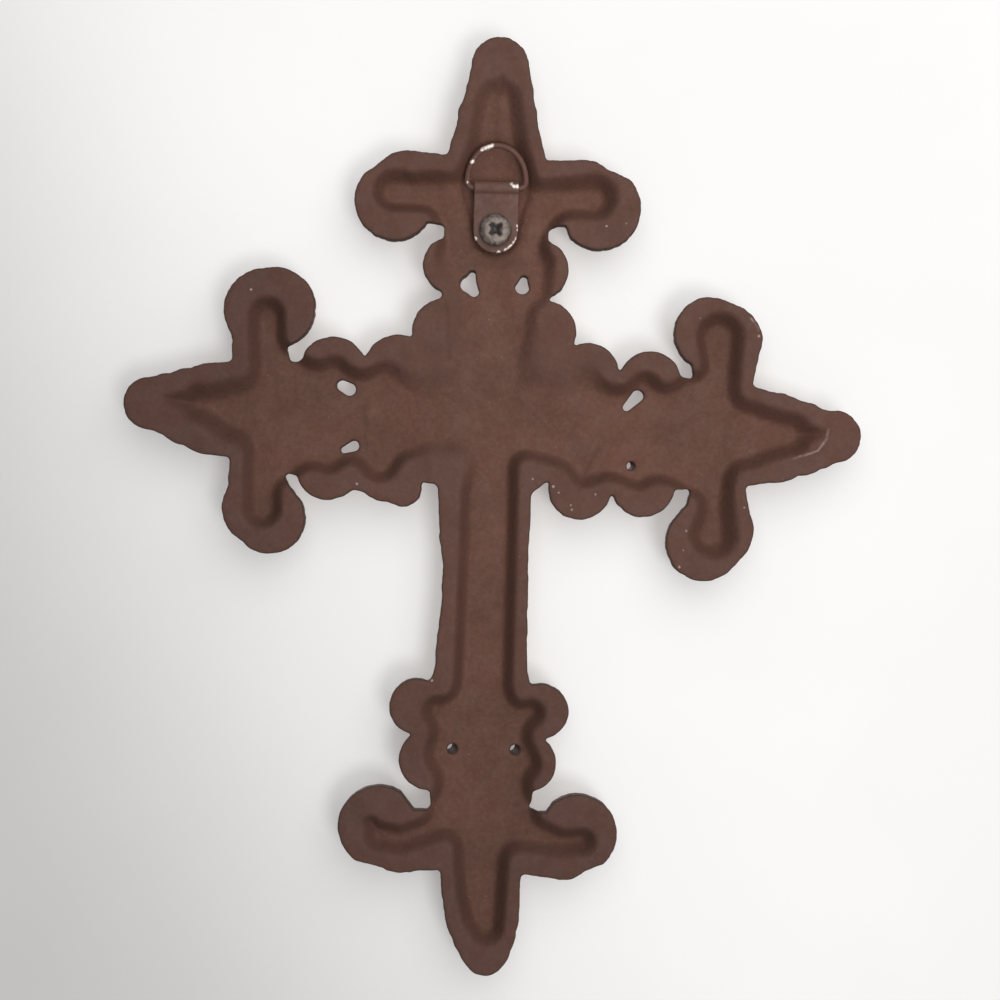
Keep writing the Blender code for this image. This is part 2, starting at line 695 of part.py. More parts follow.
def material(name, colour, roughness, metallic):
    """A plain Principled BSDF material."""
    made = bpy.data.materials.new(name)
    made.use_nodes = True
    shader = made.node_tree.nodes["Principled BSDF"]
    shader.inputs["Base Color"].default_value = (*colour, 1.0)
    shader.inputs["Roughness"].default_value = roughness
    shader.inputs["Metallic"].default_value = metallic
    return made


def add_object(name, mesh, finish=None, sharp=SOFT_EDGE):
    """Link an object made from a bmesh, whose smooth faces meet in sharp edges above an angle."""
    data = bpy.data.meshes.new(name)
    mesh.to_mesh(data)
    mesh.free()
    data.set_sharp_from_angle(angle=sharp)
    made = bpy.data.objects.new(name, data)
    bpy.context.scene.collection.objects.link(made)
    if finish:
        data.materials.append(finish)
    return made


def cutter(name, mesh):
    """A shape that only cuts or joins another."""
    made = add_object(name, mesh)
    made.hide_render = True
    made.display_type = "WIRE"
    return made


def combine(target, tool, operation):
    """Join or cut an object with a tool shape."""
    modifier = target.modifiers.new(tool.name, "BOOLEAN")
    modifier.operation = operation
    modifier.solver = "EXACT"
    modifier.object = tool


def shade(mesh):
    """Shade smooth the faces with three or four corners, and leave larger ones flat."""
    for face in mesh.faces:
        face.smooth = len(face.verts) < 5


def cylinder(radius, length, axis, centre, sides=ROUND_SIDES):
    """A closed cylinder along an axis, about its centre."""
    mesh = bmesh.new()
    bmesh.ops.create_cone(mesh, cap_ends=True, segments=sides, radius1=radius, radius2=radius, depth=length)
    shade(mesh)
    turn = Vector((0.0, 0.0, 1.0)).rotation_difference(Vector(axis)).to_matrix().to_4x4()
    bmesh.ops.transform(mesh, matrix=Matrix.Translation(centre) @ turn, verts=mesh.verts)
    return mesh


def block(low, high):
    """A closed box between two corners."""
    mesh = bmesh.new()
    size = [high[axis] - low[axis] for axis in range(3)]
    middle = [(high[axis] + low[axis]) / 2 for axis in range(3)]
    matrix = Matrix.Translation(middle) @ Matrix.Diagonal((*size, 1.0))
    bmesh.ops.create_cube(mesh, size=1.0, matrix=matrix)
    return mesh


def turned(profile, sides=ROUND_SIDES):
    """A closed solid turned about the Z axis from (radius, height) points, ends on the axis."""
    mesh = bmesh.new()
    rings = []
    for radius, height in profile:
        if radius == 0.0:
            rings.append([mesh.verts.new((0.0, 0.0, height))])
            continue
        angles = [2 * math.pi * k / sides for k in range(sides)]
        rings.append([mesh.verts.new((radius * math.cos(t), radius * math.sin(t), height)) for t in angles])
    for lower, upper in zip(rings, rings[1:]):
        for k in range(sides):
            low_pair = [lower[k % len(lower)], lower[(k + 1) % len(lower)]]
            high_pair = [upper[(k + 1) % len(upper)], upper[k % len(upper)]]
            corners = list(dict.fromkeys(low_pair + high_pair))
            mesh.faces.new(corners)
    bmesh.ops.recalc_face_normals(mesh, faces=mesh.faces)
    shade(mesh)
    return mesh


def make_casting(relief):
    """The cast cross, with a blind hole in its pad for the screw."""
    iron = material("painted_iron", (0.125, 0.062, 0.048), 0.72, 0.0)
    casting = add_object("cross_casting", casting_mesh(relief), iron)
    deep = SHANK_LENGTH + GAP
    centre = (0.0, BACK_Y - HEAD_SEAT - deep / 2, SCREW_Z)
    bore = cylinder(SHANK_RADIUS + GAP, deep, (0.0, 1.0, 0.0), centre, BORE_SIDES)
    combine(casting, cutter("cut_screw_hole", bore), "DIFFERENCE")


def make_strap():
    """The folded strap: two layers round the bar, rounded at the screw's end."""
    steel = material("painted_steel", (0.125, 0.062, 0.048), 0.6, 0.0)
    half = STRAP_WIDTH / 2
    thick = 2 * STRAP_METAL
    bar, foot = (0.0, BAR_Y, BAR_Z), (0.0, BAR_Y, SCREW_Z)
    along, through = (1.0, 0.0, 0.0), (0.0, 1.0, 0.0)
    body = block((-half, BAR_Y - STRAP_METAL, SCREW_Z), (half, BAR_Y + STRAP_METAL, BAR_Z))
    strap = add_object("hanger_strap", body, steel, FLAT_EDGE)
    combine(strap, cutter("join_strap_end", cylinder(half, thick, through, foot)), "UNION")
    combine(strap, cutter("join_loop", cylinder(LOOP_RADIUS, STRAP_WIDTH, along, bar, LOOP_SIDES)), "UNION")
    bore = cylinder(LOOP_BORE, STRAP_WIDTH + 2 * CUT_MARGIN, along, bar, LOOP_SIDES)
    combine(strap, cutter("cut_loop_bore", bore), "DIFFERENCE")
    hole = cylinder(SHANK_RADIUS + GAP, thick + 2 * CUT_MARGIN, through, foot, BORE_SIDES)
    combine(strap, cutter("cut_strap_hole", hole), "DIFFERENCE")


def ring_path():
    """Centre line of the ring in its own plane: bar along X at zero height, crown at its reach."""
    half = RING_WIDTH / 2 - WIRE_RADIUS
    corner = RING_CORNER
    points = []
    for k in range(CORNER_STATIONS + 1):
        angle = math.pi / 2 * k / CORNER_STATIONS
        points.append((half - corner + corner * math.sin(angle), corner - corner * math.cos(angle)))
    mirrored = [(-x, z) for x, z in points[::-1]]
    for k in range(1, BOW_STATIONS):
        angle = math.pi * k / BOW_STATIONS
        points.append((half * math.cos(angle), corner + (RING_REACH - corner) * math.sin(angle)))
    return points + mirrored


def make_ring():
    """The bent wire ring, hinged on its bar and tilted out from the strap."""
    steel = material("worn_steel", (0.16, 0.09, 0.07), 0.5, 0.2)
    path = ring_path()
    mesh = bmesh.new()
    rings = []
    for k, (x, z) in enumerate(path):
        before, after = path[k - 1], path[(k + 1) % len(path)]
        along = Vector((after[0] - before[0], 0.0, after[1] - before[1])).normalized()
        side = Vector((0.0, 1.0, 0.0)).cross(along)
        ring = []
        for m in range(WIRE_SIDES):
            angle = 2 * math.pi * (m + 0.5) / WIRE_SIDES
            offset = side * math.cos(angle) + Vector((0.0, 1.0, 0.0)) * math.sin(angle)
            ring.append(mesh.verts.new(Vector((x, 0.0, z)) + offset * WIRE_RADIUS))
        rings.append(ring)
    for k, ring in enumerate(rings):
        following = rings[(k + 1) % len(rings)]
        for m in range(WIRE_SIDES):
            n = (m + 1) % WIRE_SIDES
            mesh.faces.new((ring[m], ring[n], following[n], following[m]))
    bmesh.ops.recalc_face_normals(mesh, faces=mesh.faces)
    shade(mesh)
    ring = add_object("hanger_ring", mesh, steel, WIRE_EDGE)
    ring.location = (0.0, BAR_Y, BAR_Z)
    ring.rotation_euler = (-RING_TILT, 0.0, 0.0)


def make_screw():
    """The pan-head screw with a cross drive."""
    steel = material("bare_steel", (0.23, 0.22, 0.21), 0.45, 0.8)
    seat = BACK_Y - HEAD_SEAT
    profile = [(0.0, -SHANK_LENGTH), (SHANK_RADIUS, -SHANK_LENGTH), (SHANK_RADIUS, 0.0), (HEAD_RADIUS, 0.0)]
    for k in range(CROWN_RINGS + 1):
        angle = math.pi / 2 * k / CROWN_RINGS
        radius = CROWN_RADIUS + (HEAD_RADIUS - CROWN_RADIUS) * math.cos(angle)
        profile.append((radius, HEAD_EDGE + (HEAD_HEIGHT - HEAD_EDGE) * math.sin(angle)))
    profile.append((0.0, HEAD_HEIGHT))
    mesh = turned(profile)
    bmesh.ops.transform(mesh, matrix=Matrix.Rotation(-math.pi / 2, 4, "X"), verts=mesh.verts)
    screw = add_object("hanger_screw", mesh, steel, FLAT_EDGE)
    screw.location = (0.0, seat, SCREW_Z)
    top = seat + HEAD_HEIGHT
    for name, turn in (("cut_drive_one", DRIVE_TURN), ("cut_drive_two", DRIVE_TURN + math.pi / 2)):
        low = (-DRIVE_LENGTH / 2, top - DRIVE_DEPTH, -DRIVE_WIDTH / 2)
        high = (DRIVE_LENGTH / 2, top + CUT_MARGIN, DRIVE_WIDTH / 2)
        slot = block(low, high)
        turned_slot = Matrix.Translation((0.0, 0.0, SCREW_Z)) @ Matrix.Rotation(turn, 4, "Y")
        bmesh.ops.transform(slot, matrix=turned_slot, verts=slot.verts)
        combine(screw, cutter(name, slot), "DIFFERENCE")


def main():
    for old in list(bpy.data.objects):
        bpy.data.objects.remove(old, do_unlink=True)
    make_casting(Relief())
    make_strap()
    make_ring()
    make_screw()


main()
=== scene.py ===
"""Looks of the cast iron wall cross, seen from behind: fine casting, folded strap, worn ring and screw.

The plan is drawn as seen from behind, u to the right and v up from the crossing, in plan units that are
millimetres at the drawn height. Each arm has its own frame, a outward and b a quarter turn from it.
"""

import math
from collections import namedtuple

import bmesh
import bpy
import numpy as np
from mathutils import Matrix, Vector
from mathutils.geometry import delaunay_2d_cdt
from mathutils.kdtree import KDTree

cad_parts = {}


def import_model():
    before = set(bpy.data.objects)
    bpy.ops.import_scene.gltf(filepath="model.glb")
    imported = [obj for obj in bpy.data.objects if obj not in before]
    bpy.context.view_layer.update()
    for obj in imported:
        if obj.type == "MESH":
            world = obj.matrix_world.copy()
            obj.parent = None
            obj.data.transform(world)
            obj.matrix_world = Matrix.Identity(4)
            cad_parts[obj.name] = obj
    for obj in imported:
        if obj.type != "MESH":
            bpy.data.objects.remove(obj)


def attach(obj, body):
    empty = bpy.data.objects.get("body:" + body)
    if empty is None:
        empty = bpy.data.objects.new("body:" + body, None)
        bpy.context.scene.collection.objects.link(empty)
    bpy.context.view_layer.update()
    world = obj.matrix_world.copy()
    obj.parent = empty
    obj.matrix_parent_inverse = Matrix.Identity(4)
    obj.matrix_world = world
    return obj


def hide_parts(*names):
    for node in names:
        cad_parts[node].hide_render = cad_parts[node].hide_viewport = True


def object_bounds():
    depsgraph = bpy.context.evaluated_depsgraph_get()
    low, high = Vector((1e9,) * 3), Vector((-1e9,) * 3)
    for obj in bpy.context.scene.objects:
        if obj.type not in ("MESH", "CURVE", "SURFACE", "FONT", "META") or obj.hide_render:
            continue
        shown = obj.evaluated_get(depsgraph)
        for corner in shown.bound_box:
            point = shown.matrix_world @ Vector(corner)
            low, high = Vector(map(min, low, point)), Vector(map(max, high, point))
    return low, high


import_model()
CAD_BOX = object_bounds()

# Sizes of the casting, as in the model
CROSS_HEIGHT = 0.2206
DRAWN_HEIGHT = 220.6
UNIT = CROSS_HEIGHT / DRAWN_HEIGHT
FLANGE = 0.0032
POCKET_DEPTH = 0.0048
METAL = 0.0028
LEAST_METAL = 0.0024
WALL_RUN = 0.0028
FRONT_RUN = 0.0042
EDGE_FILLET = 0.0012
POCKET_FILLET = 0.0026
KEEL_SLOPE = 0.34
KEEL_EDGE = 0.0042
EYE_RADIUS = 0.0034
EYE_HEIGHT = 0.0014
GROOVE_HALF = 0.0010
GROOVE_DEPTH = 0.0009
PEARLS = 4
PEARL_RADIUS = 0.0028
PEARL_HEIGHT = 0.0011
BAND_HALF = 0.0026
BAND_HEIGHT = 0.0012
BAND_REACH = 0.0110
BAND_FADE = 0.0035
BEAD_HALF = 0.0034
BEAD_HEIGHT = 0.0014
BOSS_RADIUS = 0.0085
BOSS_HEIGHT = 0.0022

# Sizes of the hanger, as in the model
HANGER_ACROSS = -0.4
HANGER_UP = 54.4
BAR_DEPTH = 0.0032
WIRE_RADIUS = 0.00065
RING_WIDTH = 0.0152
RING_REACH = 0.00985
RING_CORNER = 0.0015
RING_TILT = math.radians(10.0)
LOOP_SIDE_PLAY = 0.00015
STRAP_METAL = 0.0007
LOOP_CLEARANCE = 0.0003
SCREW_TO_BAR = 0.0101
SHANK_RADIUS = 0.00175
SHANK_LENGTH = 0.0036
HEAD_RADIUS = 0.00375
HEAD_HEIGHT = 0.0016
HEAD_EDGE = 0.00055
CROWN_RADIUS = 0.0016
DRIVE_TURN = 42.0
GAP = 0.0003
SEAT_ROOM = 0.0006
PAD_RADIUS = 0.0040
PAD_RUN = 0.0010
STRAP_WIDTH = RING_WIDTH - 2 * (WIRE_RADIUS + RING_CORNER + LOOP_SIDE_PLAY)
LOOP_RADIUS = WIRE_RADIUS + LOOP_CLEARANCE + STRAP_METAL
SEAT_DEPTH = BAR_DEPTH + LOOP_RADIUS + SEAT_ROOM
PAD_DEPTH = BAR_DEPTH + STRAP_METAL + GAP
HEAD_SEAT = BAR_DEPTH - STRAP_METAL - GAP
BORE_RADIUS = SHANK_RADIUS + GAP
BORE_DEPTH = HEAD_SEAT + SHANK_LENGTH + GAP
CROWN_REACH = RING_REACH - WIRE_RADIUS
BACK_Y = BAR_DEPTH - CROWN_REACH * math.sin(RING_TILT)
BAR_Z = -CROWN_REACH * math.cos(RING_TILT)
BAR_Y = BACK_Y - BAR_DEPTH
SCREW_Z = BAR_Z - SCREW_TO_BAR

# Fine surface of the casting
SOFT_START = 0.0003
SOFT_RUN = 0.0040
# How strongly the band of painted shade rises down a wall
BAND_GAIN = 1.5
RIM_ROUND = 0.0006
EDGE_KEEP = 0.00010
EDGE_ROUGH = ((0.0050, 0.00012, 3), (0.0019, 0.00020, 4), (0.0009, 0.00014, 5))
FACE_ROUGH = ((0.0100, 0.00014, 6), (0.0030, 0.00007, 7), (0.0012, 0.00005, 8))
FLOOR_ROUGH = ((0.0140, 0.00055, 9), (0.0050, 0.00022, 10))
SEAT_EDGE = 0.0012
SEAT_LIP = 0.0005
FACE_CLEAR = 0.000005
KEEL_SOFT = 0.0008
EDGE_STEP = 0.00048
RIM_STEPS = (0.00014, 0.00040)
FILL_STEP = 0.00062
LINE_CLEAR = 0.00009
FILL_CLEAR = 0.00036
HOLE_EDGE = 0.00025
OUTLINE_GRID = 0.0005
TREE_STEP = 0.00012
PLAN_REACH = 0.63
PROBE = 0.00002
PROJECT_ROUNDS = 4
LEAST_SLOPE = 0.2
SAME_PLACE = 1e-9
NEAR_PLACE = 1.5
NEAR_SLANT = 2.0
CREASE_SHARE = 0.8
LIP_REACH = 2.5 * SEAT_EDGE
BORE_SIDES = 40

# Fine surfaces of the hanger
STRAP_CRUSH = 0.00003
STRAP_STEP = 0.0004
STRAP_ROUND = 0.00022
STRAP_INSETS = (0.00008, 0.00022)
STRAP_CLEAR = 0.00005
STRAP_FILL = 0.00042
STRAP_END_STEPS = 40
STRAP_HOLE_SIDES = 36
FOLD_FILLET = 0.0008
STRAIGHT_STEPS = 60
FILLET_STEPS = 9
WRAP_STEPS = 20
CORNER_STEPS = 10
CROWN_STEPS = 90
WIRE_STATIONS = 220
WIRE_SIDES = 20
HEAD_SIDES = 120
HEAD_INSETS = (0.00005, 0.00015, 0.0003)
HEAD_CLEAR = 0.00003
HEAD_FILL = 0.00011
DRIVE_REACH = 0.0020
DRIVE_HALF = 0.00056
DRIVE_CENTRE = 0.00150
DRIVE_EDGE = 0.00020
DRIVE_DEPTH = 0.0012
DRIVE_CONE = 0.0026
DRIVE_LEAST = 0.25

Arm = namedtuple("Arm", "turn blade scrolls lobes core pocket_blade pocket_lines piercings")

TOP = Arm(
    turn=90,
    blade=((60.0, 0.6, 11.4), (70.0, 0.5, 9.5), (76.0, 0.1, 8.1), (82.6, 0.2, 6.9)),
    scrolls=(
        ((50.6, 24.3, 9.5), (53.9, 21.5, 8.5), (53.4, 8.0, 7.8)),
        ((49.8, -23.9, 9.9), (53.4, -20.0, 7.8), (52.8, -8.0, 7.8)),
    ),
    lobes=((35.7, 10.8, 6.6), (20.0, 11.6, 8.0), (35.0, -10.2, 6.9), (20.4, -11.8, 7.4),
           (13.5, -15.0, 3.0)),
    core=((0.0, 0.3, 12.0), (46.0, 0.3, 12.5)),
    pocket_blade=((52.0, 0.5, 8.4), (60.0, 0.5, 8.2), (66.0, 0.4, 7.4), (74.0, 0.5, 6.2),
                  (79.6, -0.1, 1.4)),
    pocket_lines=(
        ((52.8, 24.5, 5.4), (52.6, 9.0, 5.4)),
        ((52.3, -22.6, 6.1), (51.5, -9.0, 4.9)),
        ((52.0, 0.4, 7.5), (36.0, 0.6, 11.0), (28.0, 0.8, 10.6), (10.0, 0.0, 11.0)),
        ((37.0, 10.6, 4.6), (30.0, 9.6, 4.0)),
        ((36.4, -9.6, 4.6), (30.0, -9.4, 4.4)),
        ((40.0, 11.0, 3.0), (46.0, 13.0, 3.0)),
        ((40.0, -8.0, 3.0), (46.0, -12.0, 3.0)),
    ),
    piercings=(
        ((34.0, 5.7, 0.8), (31.6, 6.5, 2.0), (29.8, 5.2, 1.2)),
        ((33.0, -6.5, 0.9), (31.2, -6.2, 1.7)),
    ),
)

RIGHT = Arm(
    turn=0,
    blade=((58.0, -2.9, 11.8), (66.0, -3.2, 10.7), (72.0, -3.2, 8.9), (76.0, -3.2, 7.3), (80.2, -2.6, 6.3)),
    scrolls=(
        ((50.5, 21.0, 8.6), (54.0, 19.3, 8.9), (53.9, 7.8, 6.6)),
        ((50.2, -28.2, 9.1), (52.8, -25.1, 9.1), (53.7, -15.0, 6.2)),
    ),
    lobes=((36.7, 9.1, 7.5), (22.1, 11.0, 7.2), (35.6, -15.0, 7.6), (20.8, -16.0, 7.6)),
    core=((0.0, -0.8, 12.6), (44.0, -2.6, 13.4)),
    pocket_blade=((52.0, -3.2, 8.8), (60.0, -2.6, 8.6), (70.0, -2.3, 5.7), (78.5, -1.8, 0.8)),
    pocket_lines=(
        ((52.9, 20.2, 6.2), (53.4, 12.0, 5.0), (53.0, 2.0, 5.4)),
        ((52.4, -26.1, 6.5), (53.2, -17.0, 4.3), (53.0, -8.0, 4.8)),
        ((50.0, -3.6, 8.4), (30.0, -3.2, 11.8), (8.0, 1.6, 11.2)),
        ((35.6, 7.8, 4.4),),
        ((34.6, -12.2, 4.6),),
        ((21.0, 9.0, 4.5),),
        ((22.0, -11.8, 4.6),),
        ((41.0, -12.0, 3.0), (47.0, -15.0, 3.0)),
        ((40.0, 5.0, 3.0), (46.0, 10.0, 2.5)),
    ),
    piercings=(
        ((31.6, 3.4, 0.9), (34.2, 6.2, 1.4)),
        ((32.9, -10.5, 1.0),),
    ),
)

LEFT = Arm(
    turn=180,
    blade=((56.0, -0.6, 12.0), (66.0, -0.7, 10.9), (71.0, -1.0, 9.3), (76.0, -1.6, 7.4), (80.6, -1.7, 6.3)),
    scrolls=(
        ((51.9, 24.8, 8.4), (54.3, 22.3, 9.0), (55.5, 15.5, 6.4), (54.8, 9.0, 6.8)),
        ((51.8, -24.8, 9.6), (54.2, -24.3, 9.7), (55.4, -15.8, 6.3), (54.8, -9.0, 7.0)),
    ),
    lobes=((38.5, 12.4, 7.8), (24.6, 12.8, 7.6), (37.8, -10.4, 8.0), (22.6, -11.2, 8.0),
           (20.9, 16.8, 4.6), (14.5, 9.6, 6.2), (31.0, 13.6, 4.2)),
    core=((0.0, 0.0, 12.6), (45.0, 1.0, 13.6)),
    pocket_blade=((52.0, -0.4, 8.8), (60.5, -0.4, 8.5), (69.2, -1.8, 5.7), (78.2, -3.0, 0.9)),
    pocket_lines=(
        ((53.8, 22.4, 5.2), (54.1, 8.8, 4.9)),
        ((53.7, -22.8, 4.9), (53.1, -6.0, 4.9)),
        ((50.0, 0.0, 10.0), (32.0, 0.4, 11.6), (8.0, -1.0, 10.6)),
        ((38.6, 9.8, 4.8),),
        ((37.6, -9.8, 4.4),),
        ((26.4, 10.8, 5.4),),
        ((25.0, -8.4, 4.8),),
        ((42.0, 9.0, 3.0), (48.0, 14.0, 3.0)),
        ((42.0, -9.0, 3.5), (49.0, -13.5, 3.0)),
    ),
    piercings=(
        ((36.0, -7.1, 1.3), (34.2, -6.2, 1.5)),
        ((35.2, 8.2, 0.8), (32.9, 7.2, 1.3)),
    ),
)

BOTTOM = Arm(
    turn=-90,
    blade=((102.0, -0.4, 9.9), (109.0, -0.5, 9.4), (113.5, -0.1, 9.2), (117.0, 0.1, 8.8),
           (121.0, 0.6, 7.6), (124.2, 0.8, 6.3), (126.4, 0.9, 4.8)),
    scrolls=(
        ((97.2, 22.0, 9.4), (100.2, 18.6, 8.0), (99.4, 8.0, 7.2)),
        ((96.5, -24.7, 9.7), (99.8, -19.5, 7.6), (99.2, -9.0, 7.0)),
    ),
    lobes=((80.9, 10.0, 6.8), (68.6, 12.9, 6.5), (80.6, -13.2, 7.2), (68.2, -16.3, 6.7), (88.6, 4.6, 6.8)),
    core=((66.0, -1.8, 12.4), (92.0, -1.6, 11.2)),
    pocket_blade=((96.0, -0.6, 7.4), (104.0, -0.5, 7.0), (111.4, -0.3, 6.5), (117.0, 0.4, 5.6),
                  (119.6, 1.1, 4.6)),
    pocket_lines=(
        ((97.1, 9.0, 5.4), (99.5, 18.0, 3.8), (99.1, 23.2, 3.8)),
        ((96.0, -10.0, 3.8), (99.6, -19.6, 3.9), (98.8, -24.6, 4.2), (96.0, -26.6, 2.6)),
        ((71.0, -1.2, 9.6), (78.0, -1.2, 13.0), (92.0, -0.8, 9.4)),
        ((69.2, 10.4, 3.9),),
        ((69.2, -11.6, 4.2),),
        ((81.2, 9.4, 4.3),),
        ((79.4, -9.4, 5.0),),
        ((86.0, 8.0, 2.6), (91.0, 11.0, 2.6)),
        ((86.0, -8.0, 2.6), (91.0, -12.0, 2.6)),
    ),
    piercings=(
        ((78.4, 7.0, 1.2),),
        ((78.5, -7.9, 1.2),),
    ),
)

ARMS = (TOP, RIGHT, LEFT, BOTTOM)
SHAFT = ((12.0, -1.6, 11.2), (27.0, -1.4, 10.7), (34.0, -0.9, 10.2), (44.0, -1.0, 10.3), (56.0, -1.5, 10.9),
         (64.0, -1.5, 11.0))
SHAFT_POCKET = ((8.0, -0.5, 7.1), (28.0, -0.5, 7.1), (64.0, -1.0, 7.4))
SHAFT_BEAD = ((18.0, -0.6), (60.0, -1.0))
CROSSING = (-0.5, 0.0, 20.0)

# Where the pocket's wall is wider or narrower: (u, v, reach) in the plan, then the wall's run
WALL_PLACES = (
    (-1.0, -22.0, 13.0, 0.0036), (-1.0, -40.0, 14.0, 0.0036), (-1.0, -57.0, 11.0, 0.0036),
    (-67.0, 1.5, 12.0, 0.0062), (68.0, -2.5, 12.0, 0.0046), (0.4, 70.0, 12.0, 0.0046),
    (52.8, -26.0, 8.0, 0.0050), (24.0, 51.0, 8.0, 0.0048),
    (-9.0, 9.0, 12.0, 0.0080), (-8.0, 28.0, 8.0, 0.0070), (13.0, 9.5, 9.0, 0.0080),
    (-8.5, -6.5, 8.0, 0.0065),
)

# Where the wall fades: (u, v, reach), then the shares of its band of painted shade and of its depth lost,
# gained below zero
FADED_WALLS = (
    (-66.0, 1.5, 13.0, -0.6, 0.0), (67.0, -2.5, 12.0, -0.2, 0.0), (-54.0, -22.0, 9.0, 0.4, 0.10),
    (-1.0, -30.0, 20.0, 0.2, 0.0),
    (-12.0, 13.0, 13.0, 1.0, 0.50), (-9.0, 30.0, 8.0, 0.9, 0.35), (14.0, 12.0, 11.0, 1.0, 0.50),
    (10.5, 27.0, 9.0, 0.75, 0.35), (-9.5, -8.0, 9.0, 0.8, 0.35), (-22.0, -98.0, 12.0, 0.5, 0.15),
    (21.0, -98.0, 12.0, 0.5, 0.10), (0.4, 76.0, 9.0, 0.4, 0.20),
)

# The casting's own marks, creases first: (start, end, half width, depth), proud if the depth is negative;
# the creases also get painted shade
MARKS = (
    ((-11.7, 27.0), (-10.8, 13.5), 0.8, 0.40),
    ((-5.0, 37.0), (5.5, 36.6), 2.0, 0.45),
    ((26.5, -6.9), (23.1, -13.3), 1.9, -0.70),
    ((-20.9, 57.2), (-19.9, 56.5), 1.5, -0.80),
    ((-29.4, 2.0), (-29.0, -6.0), 1.4, -0.35),
    ((0.2, 77.0), (0.6, 66.0), 1.6, -0.45),
)
CREASES = 2

# Small holes that slant through the metal: (u, v, reach, across, up) in the plan
SLANTS = ((-8.0, -78.5, 2.0, -1.3, 0.9), (7.0, -78.4, 2.0, -1.3, 0.8), (32.9, -10.5, 1.8, -0.9, 0.2))

# Chips in the paint: (u, v, radius) in the plan
CHIPS = (
    (61.9, 20.6, 0.30), (-57.4, 28.8, 0.26), (66.3, -8.3, 0.24), (9.6, -14.1, 0.22),
    (15.8, -17.2, 0.20), (14.5, -15.8, 0.24), (18.7, -20.0, 0.20), (19.0, -21.1, 0.24), (24.4, -17.4, 0.24),
    (7.0, -32.4, 0.20), (45.9, -25.5, 0.26), (45.3, -30.0, 0.22), (44.5, -34.0, 0.30), (59.4, -19.7, 0.20),
    (-12.9, -61.9, 0.30), (-31.5, -16.2, 0.24), (27.5, 59.0, 0.20), (30.2, 46.2, 0.24), (25.5, 45.5, 0.22),
    (-27.7, 40.6, 0.22), (8.7, -4.3, 0.18), (-30.9, 39.9, 0.18), (48.1, 24.4, 0.20), (49.0, 19.6, 0.18),
)
CHIP_EDGE = 0.00014

# Painted highlights along edges that catch the light, in the chip colour: each a line of points in the
# plan, with their half width and depth
EDGE_HIGHLIGHTS = (
    ((78.7, -0.9), (78.4, -3.1), (76.3, -6.0), (73.5, -7.1), (70.8, -8.0)),
    ((60.0, 24.6), (61.1, 23.2), (61.8, 21.8)),
)
HIGHLIGHT_HALF = 0.00012
HIGHLIGHT_DEPTH = 0.0004

# Where the paint of the hanger is rubbed through to steel, and painted glints where the ring's crown and
# the strap's rounded end catch the light: (x, z, radius) from the bar's middle, seen from behind
RING_WEAR_AND_GLINTS = ((-3.5, 8.7, 0.42), (-2.8, 9.0, 0.52), (-2.0, 9.3, 0.55), (-1.3, 9.5, 0.42), (-5.9, 5.8, 0.42),
             (-6.9, 1.1, 0.20))
STRAP_WEAR_AND_GLINTS = ((4.9, 0.2, 0.50), (4.2, 0.2, 0.42), (3.6, 0.9, 0.30), (4.9, -12.2, 0.42), (4.5, -13.0, 0.50),
              (4.0, -13.7, 0.55), (3.3, -14.3, 0.55), (2.5, -14.8, 0.48), (0.8, -15.3, 0.42),
              (-4.9, -12.2, 0.46), (5.2, -9.8, 0.30), (5.2, -8.9, 0.26))
SPOT_EDGE = 0.00025

# Camera and stage
PHOTO_WIDTH = 0.2343
CAMERA_DISTANCE = 0.40
VIEW_CENTRE = (-0.00248, -0.08269)
ROLL = math.radians(1.3)
SENSOR = 36.0
SHEET_GAP = 0.0004
SHEET_SIZE = 3.0

# Lights: name, place, size and power
LIGHTS = (
    ("key", (-0.32, 0.95, -0.42), 0.35, 3.7),
    ("near", (-0.09, 0.34, 0.07), 0.50, 1.30),
    ("front", (0.70, -1.00, 0.55), 0.9, 14.0),
    ("front_soft", (-0.60, -1.00, 0.10), 1.2, 7.0),
)
ROOM_STRENGTH = 0.32


# Fields: how far outside a plan shape a point lies, negative inside


def arm_frame(points, turn):
    """The arm's own coordinates, a outward and b across, of points in the plan, all in metres."""
    angle = math.radians(turn)
    u, v = points[:, 0], points[:, 1]
    return u * math.cos(angle) + v * math.sin(angle), v * math.cos(angle) - u * math.sin(angle)


def stroke(a, b, start, end):
    """Distance from a straight stroke that tapers between two discs."""
    step_a, step_b = end[0] - start[0], end[1] - start[1]
    length = step_a * step_a + step_b * step_b
    share = np.clip(((a - start[0]) * step_a + (b - start[1]) * step_b) / length, 0.0, 1.0)
    radius = start[2] + (end[2] - start[2]) * share
    return np.hypot(a - start[0] - share * step_a, b - start[1] - share * step_b) - radius


def chain(a, b, rows, unit=UNIT):
    """Distance from a chain of strokes, or from one disc, whose rows are in plan units."""
    rows = [tuple(value * unit for value in row) for row in rows]
    if len(rows) == 1:
        return np.hypot(a - rows[0][0], b - rows[0][1]) - rows[0][2]
    return np.minimum.reduce([stroke(a, b, start, end) for start, end in zip(rows, rows[1:])])


def soft_union(fields, fillet):
    """Union of fields with a fillet where they meet."""
    total = fields[0]
    for field in fields[1:]:
        share = np.clip(0.5 + 0.5 * (field - total) / fillet, 0.0, 1.0)
        total = field * (1.0 - share) + total * share - fillet * share * (1.0 - share)
    return total


def arm_fields(points, pick):
    """Fields of the strokes that a function picks from each arm."""
    fields = []
    for arm in ARMS:
        a, b = arm_frame(points, arm.turn)
        fields += [chain(a, b, rows) for rows in pick(arm)]
    return fields


